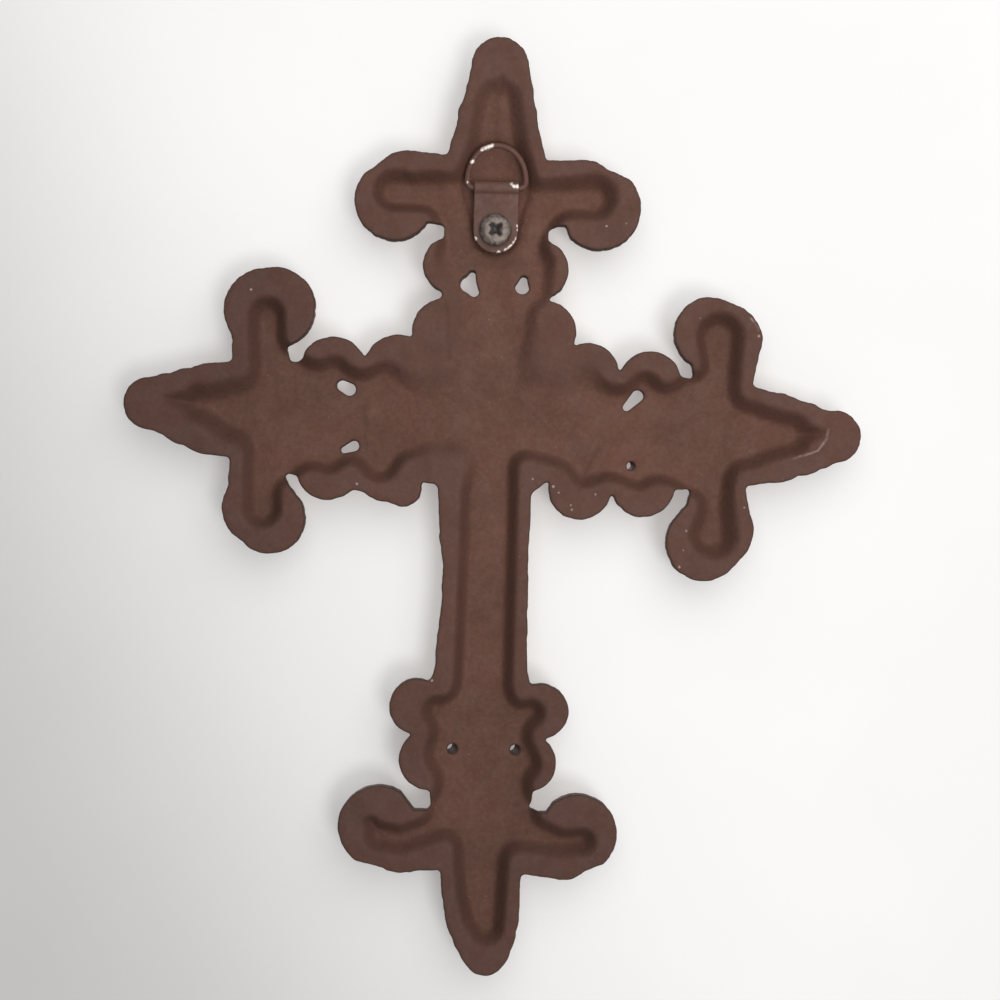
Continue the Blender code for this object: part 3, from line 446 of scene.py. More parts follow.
def outline(points):
    """Field of the casting's outline, without its piercings."""
    fields = arm_fields(points, lambda arm: (
        arm.blade, *arm.scrolls, *((lobe,) for lobe in arm.lobes), arm.core + arm.blade[:1]))
    a, b = arm_frame(points, BOTTOM.turn)
    fields.append(chain(a, b, SHAFT))
    fields.append(chain(points[:, 0], points[:, 1], (CROSSING,)))
    return soft_union(fields, EDGE_FILLET)


def rough_outline(points):
    """The outline with the small hollows that sand leaves along a cast edge."""
    return outline(points) + roughness(points, EDGE_ROUGH) - EDGE_KEEP


def piercings(points):
    """Field of the small holes between the lobes."""
    return np.minimum.reduce(arm_fields(points, lambda arm: arm.piercings))


def hanger_seat(points):
    """Field of the room round the strap and the ring."""
    across = points[:, 0] - HANGER_ACROSS * UNIT
    up = points[:, 1] - HANGER_UP * UNIT
    half_ring = RING_WIDTH / 2 + GAP
    crown = RING_REACH + WIRE_RADIUS + GAP
    rows = (
        (0.0, -SCREW_TO_BAR, STRAP_WIDTH / 2),
        (0.0, 0.0, half_ring),
        (0.0, crown - half_ring, half_ring),
    )
    return chain(across, up, rows, unit=1.0)


def pocket(points):
    """Field of the pocket sunk into the back."""
    fields = arm_fields(points, lambda arm: (arm.pocket_blade, *arm.pocket_lines))
    a, b = arm_frame(points, BOTTOM.turn)
    fields.append(chain(a, b, SHAFT_POCKET))
    fields.append(hanger_seat(points) - WALL_RUN / 2)
    return soft_union(fields, POCKET_FILLET)


def lumps(points, size, seed):
    """Smooth noise from 0 to 1 over the plan, whose lumps have about the size given."""
    cells = points / size
    low = np.floor(cells).astype(np.int64)
    share = cells - low
    share = share * share * (3.0 - 2.0 * share)

    def corner(i, j):
        mixed = (low[:, 0] + i) * 374761393 + (low[:, 1] + j) * 668265263 + seed * 974634777
        mixed = ((mixed & 0xFFFFFFFF) ^ ((mixed & 0xFFFFFFFF) >> 13)) * 1274126177
        return (((mixed & 0xFFFFFFFF) ^ ((mixed & 0xFFFFFFFF) >> 16)) & 0xFFFF) / 65535.0

    lower = corner(0, 0) * (1.0 - share[:, 0]) + corner(1, 0) * share[:, 0]
    upper = corner(0, 1) * (1.0 - share[:, 0]) + corner(1, 1) * share[:, 0]
    return lower * (1.0 - share[:, 1]) + upper * share[:, 1]


def roughness(points, rows):
    """Sum of lumps of several sizes, never below zero."""
    return sum(height * lumps(points, size, seed) for size, height, seed in rows)


# Contours of a field, as closed loops of points


def project(field, points, level):
    """Move points along the field's slope until they lie on a level."""
    for _ in range(PROJECT_ROUNDS):
        value = field(points) - level
        slope_u = (field(points + (PROBE, 0.0)) - field(points - (PROBE, 0.0))) / (2 * PROBE)
        slope_v = (field(points + (0.0, PROBE)) - field(points - (0.0, PROBE))) / (2 * PROBE)
        square = np.maximum(slope_u * slope_u + slope_v * slope_v, LEAST_SLOPE)
        points = points - np.stack((slope_u, slope_v), axis=1) * (value / square)[:, None]
    return points


def cell_segments(inside, row, column):
    """The edges of a grid cell that a contour joins, each as a pair."""
    corners = (inside[row, column], inside[row, column + 1],
               inside[row + 1, column + 1], inside[row + 1, column])
    edges = (("across", row, column), ("up", row, column + 1),
             ("across", row + 1, column), ("up", row, column))
    crossed = [edges[side] for side in range(4) if corners[side] != corners[(side + 1) % 4]]
    if len(crossed) == 4:
        turn = 0 if corners[0] else 1
        crossed = crossed[turn:] + crossed[:turn]
        return [(crossed[3], crossed[0]), (crossed[1], crossed[2])]
    return [tuple(crossed)] if crossed else []


def contours(field, level, step):
    """Closed loops where a field has a level, found on a square grid."""
    lines = np.arange(-PLAN_REACH * CROSS_HEIGHT, PLAN_REACH * CROSS_HEIGHT, step)
    u, v = np.meshgrid(lines, lines)
    points = np.stack((u.ravel(), v.ravel()), axis=1)
    inside = (field(points) < level).reshape(u.shape)
    mixed = np.zeros(inside.shape, dtype=bool)
    mixed[:-1, :-1] = (inside[:-1, :-1] != inside[:-1, 1:]) | (inside[1:, :-1] != inside[1:, 1:])
    mixed[:-1, :-1] |= inside[:-1, :-1] != inside[1:, :-1]
    neighbours = {}
    for row, column in np.argwhere(mixed):
        for first, second in cell_segments(inside, int(row), int(column)):
            neighbours.setdefault(first, []).append(second)
            neighbours.setdefault(second, []).append(first)
    loops = []
    while neighbours:
        loop = [next(iter(neighbours))]
        while True:
            options = neighbours.pop(loop[-1])
            following = [edge for edge in options if edge in neighbours]
            if not following:
                break
            loop.append(following[0])
        middles = [(lines[column] + (step / 2 if kind == "across" else 0.0),
                    lines[row] + (step / 2 if kind == "up" else 0.0)) for kind, row, column in loop]
        loops.append(project(field, np.array(middles), level))
    return loops


def travel(line):
    """How far along a line each of its points lies."""
    return np.concatenate(((0.0,), np.cumsum(np.hypot(*np.diff(line, axis=0).T))))


def spaced(loop, step, fewest=8):
    """A closed loop's points, moved to even steps along it."""
    closed = np.vstack((loop, loop[:1]))
    travelled = travel(closed)
    count = max(fewest, round(travelled[-1] / step))
    stations = np.arange(count) * travelled[-1] / count
    return np.stack([np.interp(stations, travelled, closed[:, axis]) for axis in (0, 1)], axis=1)


def inside_loops(points, loops):
    """Which points lie inside an odd number of loops."""
    order = np.argsort(points[:, 1])
    across, heights = points[order, 0], points[order, 1]
    odd = np.zeros(len(points), dtype=bool)
    for loop in loops:
        for (u0, v0), (u1, v1) in zip(loop, np.roll(loop, -1, axis=0)):
            first, last = np.searchsorted(heights, (min(v0, v1), max(v0, v1)))
            if first < last:
                part = slice(first, last)
                odd[part] ^= across[part] < u0 + (heights[part] - v0) * (u1 - u0) / (v1 - v0)
    result = np.empty(len(points), dtype=bool)
    result[order] = odd
    return result


# Relief: depth from the back plane of the two faces


def ease(share):
    """Smooth step from 0 to 1."""
    share = np.clip(share, 0.0, 1.0)
    return share * share * (3.0 - 2.0 * share)


def shoulder(share):
    """Quarter round from 0 to 1."""
    return np.sqrt(1.0 - (1.0 - np.clip(share, 0.0, 1.0)) ** 2)


def dome(distance, radius):
    """Round swelling that is 1 in its middle and 0 from its radius on."""
    return np.clip(1.0 - (distance / radius) ** 2, 0.0, 1.0)


def groove(distance):
    """Depth of a round groove that starts where the distance is 0."""
    return GROOVE_DEPTH * dome(distance - GROOVE_HALF, GROOVE_HALF)


def away_from(a, b, place):
    """Distance from a place whose first two numbers are in plan units."""
    return np.hypot(a - place[0] * UNIT, b - place[1] * UNIT)


def nearness(points, place, reaches):
    """1 near a place (u, v, reach) of the plan, and 0 from some reaches away on."""
    return ease(reaches - away_from(points[:, 0], points[:, 1], place) / (place[2] * UNIT))


def inward_distance(points, field):
    """True distance inward from a field's edge, negative outside it."""
    edge = np.vstack([spaced(loop, TREE_STEP) for loop in contours(field, 0.0, OUTLINE_GRID)])
    tree = KDTree(len(edge))
    for index, (u, v) in enumerate(edge):
        tree.insert((u, v, 0.0), index)
    tree.balance()
    nearest = np.array([tree.find((u, v, 0.0))[2] for u, v in points])
    return np.where(field(points) < 0.0, nearest, -nearest)


def band_place(arm):
    """How far out an arm's collar band lies: midway between its two pairs of lobes."""
    return (arm.lobes[0][0] + arm.lobes[1][0]) / 2 * UNIT


class Relief:
    """Depths of the two faces and what the paint needs to know at points of the plan."""

    def __init__(self, points):
        self.points = points
        self.into_pocket = inward_distance(points, pocket)
        self.into_outline = np.maximum(inward_distance(points, rough_outline), 0.0)
        self.from_hole = np.maximum(piercings(points), 0.0)
        self.seat = hanger_seat(points)
        self.to_screw = np.hypot(points[:, 0] - HANGER_ACROSS * UNIT,
                                 points[:, 1] - HANGER_UP * UNIT + SCREW_TO_BAR)
        self.run = np.full(len(points), SOFT_RUN)
        for *place, run in WALL_PLACES:
            self.run = self.run + (run - self.run) * nearness(points, place, NEAR_PLACE)
        self.band_kept = np.ones(len(points))
        self.depth_kept = np.ones(len(points))
        for *place, band, depth in FADED_WALLS:
            near = nearness(points, place, NEAR_PLACE)
            self.band_kept = self.band_kept * (1.0 - band * near)
            self.depth_kept = self.depth_kept * (1.0 - depth * near)

    def wall(self):
        """How far down the pocket's soft wall a point lies, from 0 on the rim to 1 on the floor."""
        return ease((self.into_pocket + SOFT_START) / self.run)

    def painted_shade(self):
        """Share of painted shade: 1 halfway down a wall or the seat's step and in a crease, 0 on flat
        ground.
        """
        wall = self.wall()
        painted_shade = np.minimum(BAND_GAIN * 4.0 * wall * (1.0 - wall), 1.0) * self.band_kept
        step = ease(0.5 - self.seat / SEAT_EDGE)
        painted_shade = np.maximum(painted_shade, 4.0 * step * (1.0 - step) * ease(self.into_pocket / SOFT_RUN))
        for start, end, half, _ in MARKS[:CREASES]:
            crease = dome(self.from_mark(start, end), CREASE_SHARE * half * UNIT)
            painted_shade = np.maximum(painted_shade, CREASE_SHARE * crease)
        return painted_shade

    def from_mark(self, start, end):
        """Distance from a mark's line."""
        rows = (start[0] * UNIT, start[1] * UNIT, 0.0), (end[0] * UNIT, end[1] * UNIT, 0.0)
        return stroke(self.points[:, 0], self.points[:, 1], *rows)

    def rounding(self):
        """How far a face falls away at the outline and at the piercings."""
        near = np.minimum(self.into_outline, self.from_hole)
        return RIM_ROUND * (1.0 - shoulder(near / RIM_ROUND))

    def back(self):
        """Depth of the back: rim, soft wall, floor, pad under the strap and the screw's blind hole."""
        floor = POCKET_DEPTH + (SEAT_DEPTH - POCKET_DEPTH) * ease(0.5 - self.seat / SEAT_EDGE)
        floor = floor - SEAT_LIP * dome(self.seat - LIP_REACH, LIP_REACH)
        floor = floor - roughness(self.points, FLOOR_ROUGH) * ease(self.seat / WALL_RUN)
        depth = floor * self.wall() * self.depth_kept + self.rounding() + roughness(self.points, FACE_ROUGH)
        for start, end, half, sunk in MARKS:
            depth = depth + sunk * UNIT * dome(self.from_mark(start, end), half * UNIT)
        pad = ease((PAD_RADIUS + PAD_RUN - self.to_screw) / PAD_RUN)
        depth = np.maximum(depth * (1.0 - pad) + PAD_DEPTH * pad, FACE_CLEAR)
        return np.where(self.to_screw < BORE_RADIUS, BORE_DEPTH, depth)

    def front(self):
        """Depth of the front: a rounded shoulder from the outline up to the ornament, never too thin."""
        floor = POCKET_DEPTH + (SEAT_DEPTH - POCKET_DEPTH) * ease(1.0 - self.seat / FRONT_RUN)
        raised = floor + METAL - FLANGE + self.ornament()
        depth = FLANGE + raised * shoulder(self.into_outline / FRONT_RUN)
        least = floor * ease(self.into_pocket / WALL_RUN) + LEAST_METAL
        depth = np.maximum(depth, least) - self.rounding()
        return depth - roughness(self.points + (CROSS_HEIGHT, 0.0), FACE_ROUGH)

    def ornament(self):
        """Keeled spears, scroll eyes, pearls and bands on the collars, the shaft's bead and a boss."""
        points = self.points
        extra = np.zeros(len(points))
        for arm in ARMS:
            a, b = arm_frame(points, arm.turn)
            rise = -chain(a, b, arm.blade) - KEEL_EDGE
            soft = (rise + np.sqrt(rise * rise + KEEL_SOFT * KEEL_SOFT)) / 2
            extra = np.maximum(extra, KEEL_SLOPE * soft)
            for scroll in arm.scrolls:
                distance = away_from(a, b, scroll[0])
                extra = extra + EYE_HEIGHT * dome(distance, EYE_RADIUS) - groove(distance - EYE_RADIUS)
            for lobe in arm.lobes[:PEARLS]:
                distance = away_from(a, b, lobe)
                extra = extra + PEARL_HEIGHT * dome(distance, PEARL_RADIUS)
            fade = ease((BAND_REACH - np.abs(b)) / BAND_FADE)
            extra = extra + BAND_HEIGHT * dome(a - band_place(arm), BAND_HALF) * fade
        a, b = arm_frame(points, BOTTOM.turn)
        bead = [tuple(value * UNIT for value in row) + (0.0,) for row in SHAFT_BEAD]
        extra = extra + BEAD_HEIGHT * dome(stroke(a, b, *bead), BEAD_HALF)
        to_middle = away_from(points[:, 0], points[:, 1], CROSSING)
        return extra + BOSS_HEIGHT * dome(to_middle, BOSS_RADIUS) - groove(to_middle - BOSS_RADIUS)


# Meshes


class Net:
    """Points that keep clear of each other, and the edges along the lines that they belong to."""

    def __init__(self, loops):
        self.loops = loops
        self.points = []
        self.edges = []
        self.cells = {}
        for loop in loops:
            self.add_line(loop, clear=0.0)
        self.border_count = len(self.points)

    def add_point(self, point, clear):
        """The new point's number, or None where an earlier point is nearer than the clearance."""
        column, row = (math.floor(value / FILL_CLEAR) for value in point)
        nearby = [(column + i, row + j) for i in (-1, 0, 1) for j in (-1, 0, 1)]
        if any(math.dist(point, other) < clear for cell in nearby for other in self.cells.get(cell, ())):
            return None
        self.cells.setdefault((column, row), []).append(tuple(point))
        self.points.append(tuple(point))
        return len(self.points) - 1

    def add_line(self, points, clear=LINE_CLEAR):
        """Add a closed line's points that lie inside the border, and its edges between kept neighbours."""
        inside = inside_loops(np.array(points), self.loops) if clear else [True] * len(points)
        numbers = [self.add_point(point, clear) if keep else None for point, keep in zip(points, inside)]
        self.edges += [pair for pair in zip(numbers, numbers[1:] + numbers[:1]) if None not in pair]

    def fill(self, step, reach):
        """Add points on a grid of triangles wherever there is room."""
        row_step = step * math.sqrt(3.0) / 2
        rows = math.ceil(2 * reach / row_step)
        columns = math.ceil(2 * reach / step)
        grid = np.array([((i + j % 2 / 2 - columns / 2) * step, (j - rows / 2) * row_step)
                         for j in range(rows) for i in range(columns)])
        for point in grid[inside_loops(grid, self.loops)]:
            self.add_point(tuple(point), FILL_CLEAR)

    def triangles(self):
        """The points, those of the border first and as they were, and the triangles inside the border."""
        places = [Vector(point) for point in self.points]
        result = delaunay_2d_cdt(places, self.edges, [], 0, SAME_PLACE, True)
        points = self.points[:self.border_count]
        numbers = []
        for place, sources in zip(result[0], result[3]):
            source = min(sources, default=self.border_count)
            if source < self.border_count:
                numbers.append(source)
            else:
                numbers.append(len(points))
                points.append(tuple(place))
        points = np.array(points)
        faces = np.array([[numbers[corner] for corner in face] for face in result[2]])
        faces = faces[inside_loops(points[faces].mean(axis=1), self.loops)]
        one, two, three = (points[faces[:, k]] for k in range(3))
        sides = np.concatenate((two - one, three - one), axis=1)
        turn = sides[:, 0] * sides[:, 3] - sides[:, 1] * sides[:, 2]
        faces[turn < 0] = faces[turn < 0][:, ::-1]
        return points, faces


def circle(centre, radius, count):
    """Points evenly round a circle."""
    angles = np.arange(count) * 2 * math.pi / count
    return np.stack((centre[0] + radius * np.cos(angles), centre[1] + radius * np.sin(angles)), axis=1)


def world(points, depths):
    """World places of plan points at depths below the back plane."""
    x = HANGER_ACROSS * UNIT - points[:, 0]
    y = BACK_Y - depths
    z = points[:, 1] - HANGER_UP * UNIT + BAR_Z
    return np.stack((x, y, z), axis=1)


def smooth_mesh(name, vertices, faces):
    """A closed mesh, shaded smooth, whose faces all look outward."""
    data = bpy.data.meshes.new(name)
    data.from_pydata(vertices, [], faces)
    tidy = bmesh.new()
    tidy.from_mesh(data)
    bmesh.ops.recalc_face_normals(tidy, faces=tidy.faces)
    tidy.to_mesh(data)
    tidy.free()
    data.shade_smooth()
    return data


def shell_mesh(name, loops, faces, outer, inner):
    """A closed mesh between two surfaces that share their triangles, joined round the loops."""
    count = len(outer)
    triangles = [tuple(face) for face in faces[:, ::-1]]
    triangles += [tuple(face + count) for face in faces]
    first = 0
    for loop in loops:
        size = len(loop)
        for k in range(size):
            here, there = first + k, first + (k + 1) % size
            triangles.append((here, there, there + count, here + count))
        first += size
    triangles = [[int(corner) for corner in face] for face in triangles]
    return smooth_mesh(name, np.vstack((outer, inner)).tolist(), triangles)


def add_object(name, data):
    """A new object, linked to the scene."""
    made = bpy.data.objects.new(name, data)
    bpy.context.scene.collection.objects.link(made)
    return made


def add_piece(name, data, material, body, slot, *nodes):
    """Link a piece that stands for CAD nodes and rides on a body."""
    piece = add_object(name, data)
    data.materials.append(material)
    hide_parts(*nodes)
    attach(piece, body)


def add_attribute(data, name, values):
    """A number for each vertex, which a material can read."""
    attribute = data.attributes.new(name, "FLOAT", "POINT")
    attribute.data.foreach_set("value", np.asarray(values, dtype=np.float32))


def slanted(points):
    """Plan places of the front's points, moved where a small hole slants through the metal."""
    moved = points.copy()
    for *place, across, up in SLANTS:
        moved = moved + nearness(points, place, NEAR_SLANT)[:, None] * (across * UNIT, up * UNIT)
    return moved


def make_casting(material):
    """The cross itself, with soft pocket walls, rounded rims and a cast skin."""
    loops = [spaced(loop, EDGE_STEP) for loop in contours(rough_outline, 0.0, OUTLINE_GRID)]
    loops += [spaced(loop, EDGE_STEP) for loop in contours(piercings, 0.0, OUTLINE_GRID / 2)]
    net = Net(loops)
    for field in (rough_outline, lambda points: -piercings(points)):
        for inset in RIM_STEPS:
            for loop in contours(field, -inset, OUTLINE_GRID):
                net.add_line(spaced(loop, EDGE_STEP))
    screw = (HANGER_ACROSS * UNIT, HANGER_UP * UNIT - SCREW_TO_BAR)
    for radius in (BORE_RADIUS + LINE_CLEAR, BORE_RADIUS - LINE_CLEAR / 10):
        net.add_line(circle(screw, radius, BORE_SIDES), clear=LINE_CLEAR / 2)
    net.fill(FILL_STEP, PLAN_REACH * CROSS_HEIGHT)
    points, faces = net.triangles()
    relief = Relief(points)
    outer, inner = world(points, relief.back()), world(slanted(points), relief.front())
    data = shell_mesh("cross_shell", loops, faces, outer, inner)
    # Shares for the paint's painted light and shade: shade down the walls and in the creases, how far down
    # the wall a point lies, the outline's painted shadow line and the holes' painted shade
    plain = np.zeros(len(points))
    rim = 1.0 - np.clip(relief.into_outline / RIM_ROUND, 0.0, 1.0)
    hole_shade = ease(1.0 - relief.from_hole / HOLE_EDGE)
    values = {"painted_shade": (relief.painted_shade(), plain), "floor": (relief.wall(), plain), "rim": (rim, rim),
              "hole_shade": (hole_shade, hole_shade)}
    for name, sides in values.items():
        add_attribute(data, name, np.concatenate(sides))
    add_piece("cross_casting_fine", data, material, "cross", "painted_iron", "cross_casting")


def strap_path():
    """Middle line of the folded strip as (y, z) from the bar, from one end up, round the bar and down."""
    half = STRAP_METAL / 2
    wrap = LOOP_RADIUS - half
    fillet = FOLD_FILLET
    drop = math.sqrt((wrap + fillet) ** 2 - (half + fillet) ** 2)
    low = -SCREW_TO_BAR - STRAP_WIDTH / 2
    side = [(half, low + (-drop - low) * share) for share in np.linspace(0.0, 1.0, STRAIGHT_STEPS)]
    reach = math.atan2(drop, half + fillet)
    for share in np.linspace(0.0, 1.0, FILLET_STEPS)[1:]:
        angle = math.pi - reach * share
        side.append((half + fillet + fillet * math.cos(angle), -drop + fillet * math.sin(angle)))
    start = math.atan2(-drop, half + fillet)
    angles = np.linspace(start, math.pi / 2, WRAP_STEPS)[1:]
    over = [(wrap * math.cos(t), wrap * math.sin(t)) for t in angles]
    rise = side + over
    return np.array(rise + [(-y, z) for y, z in rise[-2::-1]])


def make_strap(material):
    """The strip folded round the ring's bar, holed and rounded at both ends."""
    path = strap_path()
    travelled = travel(path)
    travelled = travelled - travelled[-1] / 2
    reach = travelled[-1]
    straight = reach - STRAP_WIDTH / 2
    half = STRAP_WIDTH / 2 - STRAP_CRUSH
    ends = []
    for side in (1, -1):
        for angle in np.linspace(-math.pi / 2, math.pi / 2, STRAP_END_STEPS):
            ends.append((side * half * -math.sin(angle), side * (straight + half * math.cos(angle))))
    border = spaced(np.array(ends), STRAP_STEP)
    holes = [circle((0.0, side * straight), BORE_RADIUS, STRAP_HOLE_SIDES) for side in (1, -1)]
    loops = [border] + holes
    net = Net(loops)
    for inset in STRAP_INSETS:
        net.add_line(border * (1.0 - inset / half, 1.0 - inset / reach), clear=STRAP_CLEAR)
    net.fill(STRAP_FILL, reach + half)
    points, faces = net.triangles()
    along, across = points[:, 1], points[:, 0]
    slope = np.gradient(path, travelled, axis=0)
    y, z = (np.interp(along, travelled, path[:, k]) for k in (0, 1))
    out_y, out_z = (np.interp(along, travelled, side) for side in (-slope[:, 1], slope[:, 0]))
    size = np.hypot(out_y, out_z)
    from_edge = half - np.hypot(across, np.maximum(np.abs(along) - straight, 0.0))
    near = np.clip(from_edge, 0.0, STRAP_ROUND)
    thick = STRAP_METAL / 2 - STRAP_CRUSH - STRAP_ROUND * (1.0 - shoulder(near / STRAP_ROUND))
    sides = []
    for way in (1, -1):
        sides.append(np.stack((across, BAR_Y + y + way * thick * out_y / size,
                               BAR_Z + z + way * thick * out_z / size), axis=1))
    data = shell_mesh("strap_shell", loops, faces, sides[0], sides[1])
    add_attribute(data, "edge", np.tile(1.0 - near / STRAP_ROUND, 2))
    add_piece("hanger_strap_fine", data, material, "cross", "painted_strap", "hanger_strap")


def ring_line():
    """Centre line of the ring in its own plane: bar along X at zero height, crown at its reach."""
    half = RING_WIDTH / 2 - WIRE_RADIUS
    corner = RING_CORNER
    rise = CROWN_REACH + WIRE_RADIUS - corner
    bend = [(half - corner + corner * math.sin(t), corner - corner * math.cos(t))
            for t in np.linspace(0.0, math.pi / 2, CORNER_STEPS)]
    crown = [(half * math.cos(t), corner + rise * math.sin(t))
             for t in np.linspace(0.0, math.pi, CROWN_STEPS)[1:-1]]
    mirrored = [(-x, z) for x, z in reversed(bend)]
    return spaced(np.array(bend + crown + mirrored), 1.0, WIRE_STATIONS)


def make_ring(material):
    """The bent wire ring on its bar, tilted out from the strap."""
    line = ring_line()
    turn = Matrix.Translation((0.0, BAR_Y, BAR_Z)) @ Matrix.Rotation(-RING_TILT, 4, "X")
    out = Vector((0.0, 1.0, 0.0))
    vertices, faces = [], []
    for k, (x, z) in enumerate(line):
        before, after = line[k - 1], line[(k + 1) % len(line)]
        side = out.cross(Vector((after[0] - before[0], 0.0, after[1] - before[1])).normalized())
        this, following = k * WIRE_SIDES, (k + 1) % len(line) * WIRE_SIDES
        for m in range(WIRE_SIDES):
            angle = 2 * math.pi * m / WIRE_SIDES
            offset = side * math.cos(angle) + out * math.sin(angle)
            vertices.append(turn @ (Vector((x, 0.0, z)) + offset * WIRE_RADIUS))
            n = (m + 1) % WIRE_SIDES
            faces.append((this + m, this + n, following + n, following + m))
    data = smooth_mesh("ring_wire", vertices, faces)
    add_piece("hanger_ring_fine", data, material, "ring", "worn_ring", "hanger_ring")


def screw_top(points):
    """Height of the screw's head above its seat, and how deep in the drive's recess a point lies."""
    radius = np.hypot(*points.T)
    share = np.clip((radius - CROWN_RADIUS) / (HEAD_RADIUS - CROWN_RADIUS), 0.0, 1.0)
    height = HEAD_EDGE + (HEAD_HEIGHT - HEAD_EDGE) * np.sqrt(1.0 - share ** 2)
    a, b = (np.abs(distance) for distance in arm_frame(points, DRIVE_TURN))
    wing = np.minimum(np.maximum(a - DRIVE_REACH, b - DRIVE_HALF),
                      np.maximum(b - DRIVE_REACH, a - DRIVE_HALF))
    wing = np.minimum(wing, a + b - DRIVE_CENTRE)
    recess = ease(-wing / DRIVE_EDGE)
    bottom = DRIVE_DEPTH * np.clip(1.0 - radius / DRIVE_CONE, DRIVE_LEAST, 1.0)
    return height - recess * bottom, recess


def make_screw(material):
    """The pan-head screw with its cross recess."""
    border = circle((0.0, 0.0), HEAD_RADIUS, HEAD_SIDES)
    net = Net([border])
    for inset in HEAD_INSETS:
        net.add_line(circle((0.0, 0.0), HEAD_RADIUS - inset, HEAD_SIDES), clear=HEAD_CLEAR)
    net.fill(HEAD_FILL, HEAD_RADIUS)
    points, faces = net.triangles()
    height, recess = screw_top(points)
    seat = BACK_Y - HEAD_SEAT
    radius = np.hypot(*points.T)
    top = np.stack((-points[:, 0], seat + height, SCREW_Z + points[:, 1]), axis=1)
    shank = np.where(radius < SHANK_RADIUS, -SHANK_LENGTH, 0.0)
    under = np.stack((-points[:, 0], seat + shank, SCREW_Z + points[:, 1]), axis=1)
    data = shell_mesh("screw_shell", [border], faces, top, under)
    add_attribute(data, "recess", np.concatenate((recess, np.zeros(len(points)))))
    add_piece("hanger_screw_fine", data, material, "cross", "bare_screw", "hanger_screw")


# Materials


class Shader:
    """Short ways to add and link the nodes of a material."""

    def __init__(self, name):
        self.material = bpy.data.materials.new(name)
        self.material.use_nodes = True
        self.nodes = self.material.node_tree.nodes
        self.links = self.material.node_tree.links
        self.surface = self.nodes["Principled BSDF"]
        self.place = self.nodes.new("ShaderNodeTexCoord").outputs["Object"]

    def set(self, socket, value):
        """Link an output to a socket, or write a plain value there."""
        if isinstance(value, bpy.types.NodeSocket):
            self.links.new(value, socket)
        else:
            socket.default_value = value

    def node(self, kind, output, settings, **inputs):
        """Add a node and return one of its outputs."""
        made = self.nodes.new("ShaderNode" + kind)
        for key, value in settings.items():
            setattr(made, key, value)
        for key, value in inputs.items():
            self.set(made.inputs[int(key[1:]) if key[1:].isdigit() else key], value)
        return made.outputs[output]

    def math(self, operation, first, second=0.0):
        return self.node("Math", 0, {"operation": operation}, i0=first, i1=second)

    def noise(self, size, detail=3.0, roughness=0.55):
        """Noise from 0 to 1 with lumps of a size in metres."""
        return self.node("TexNoise", 0, {}, Vector=self.place, Scale=1.0 / size, Detail=detail,
                         Roughness=roughness)

    def ramp(self, value, low, high, result_low=0.0, result_high=1.0):
        """A value's range turned into another, held at its ends."""
        return self.node("MapRange", 0, {"interpolation_type": "SMOOTHSTEP"}, Value=value,
                         i1=low, i2=high, i3=result_low, i4=result_high)

    def mix(self, share, first, second, blend="MIX"):
        """Two colours mixed by a share."""
        settings = {"data_type": "RGBA", "blend_type": blend}
        return self.node("Mix", 2, settings, i0=share, i6=first, i7=second)

    def attribute(self, name):
        return self.node("Attribute", 2, {"attribute_name": name})

    def spots(self, rows, edge, ragged, counted=(1.0, 1.0, 1.0)):
        """1 inside any of the round spots (place, radius) and 0 outside, along the counted axes."""
        total = None
        lumps_here = self.math("MULTIPLY", self.math("SUBTRACT", self.noise(0.0009, 2.0), 0.5), ragged)
        here = self.node("VectorMath", 0, {"operation": "MULTIPLY"}, i0=self.place, i1=counted)
        for place, radius in rows:
            away = self.node("VectorMath", 1, {"operation": "DISTANCE"}, i0=here, i1=place)
            away = self.math("ADD", away, lumps_here)
            spot = self.ramp(away, radius - edge, radius + edge, 1.0, 0.0)
            total = spot if total is None else self.math("MAXIMUM", total, spot)
        return total

    def line(self, points, half, edge):
        """1 along a line of points and 0 away from it."""
        total = None
        for start, end in zip(points, points[1:]):
            along = Vector(end) - Vector(start)
            offset = self.node("VectorMath", 0, {"operation": "SUBTRACT"}, i0=self.place, i1=start)
            share = self.node("VectorMath", 1, {"operation": "DOT_PRODUCT"}, i0=offset,
                              i1=tuple(along / along.length_squared))
            share = self.node("Clamp", 0, {}, i0=share)
            nearest = self.node("VectorMath", 0, {"operation": "SCALE"}, i0=tuple(along), Scale=share)
            away = self.node("VectorMath", 1, {"operation": "DISTANCE"}, i0=offset, i1=nearest)
            on_line = self.ramp(away, half, half + edge, 1.0, 0.0)
            total = on_line if total is None else self.math("MAXIMUM", total, on_line)
        return total

    def axis(self, number):
        """One coordinate of the place that is shaded."""
        return self.node("SeparateXYZ", number, {}, i0=self.place)

    def look(self, **values):
        """Set inputs of the surface, with an underscore for each space in their names."""
        for name, value in values.items():
            self.set(self.surface.inputs[name.replace("_", " ")], value)

    def bump(self, height, distance):
        """Fine unevenness of the surface, whose height is a distance in metres."""
        self.look(Normal=self.node("Bump", 0, {}, Height=height, Distance=distance))


def colour(red, green, blue):
    return (red, green, blue, 1.0)


BROWN = colour(0.100, 0.046, 0.031)
BROWN_DARK = colour(0.086, 0.039, 0.026)
BROWN_RED = colour(0.109, 0.046, 0.031)
BROWN_PALE = colour(0.100, 0.050, 0.038)
# Colour of the painted shade down the pocket walls, at the seat's step and in the creases
SHADE_BROWN = colour(0.072, 0.029, 0.017)
# Colour of the painted shade along the outline and on the walls of the small holes
SHADE_BLACK = colour(0.030, 0.017, 0.013)
SPECK = colour(0.21, 0.12, 0.095)
# Colour of the paint chips and of the painted edge highlights
CHIP_AND_HIGHLIGHT = colour(0.34, 0.26, 0.22)
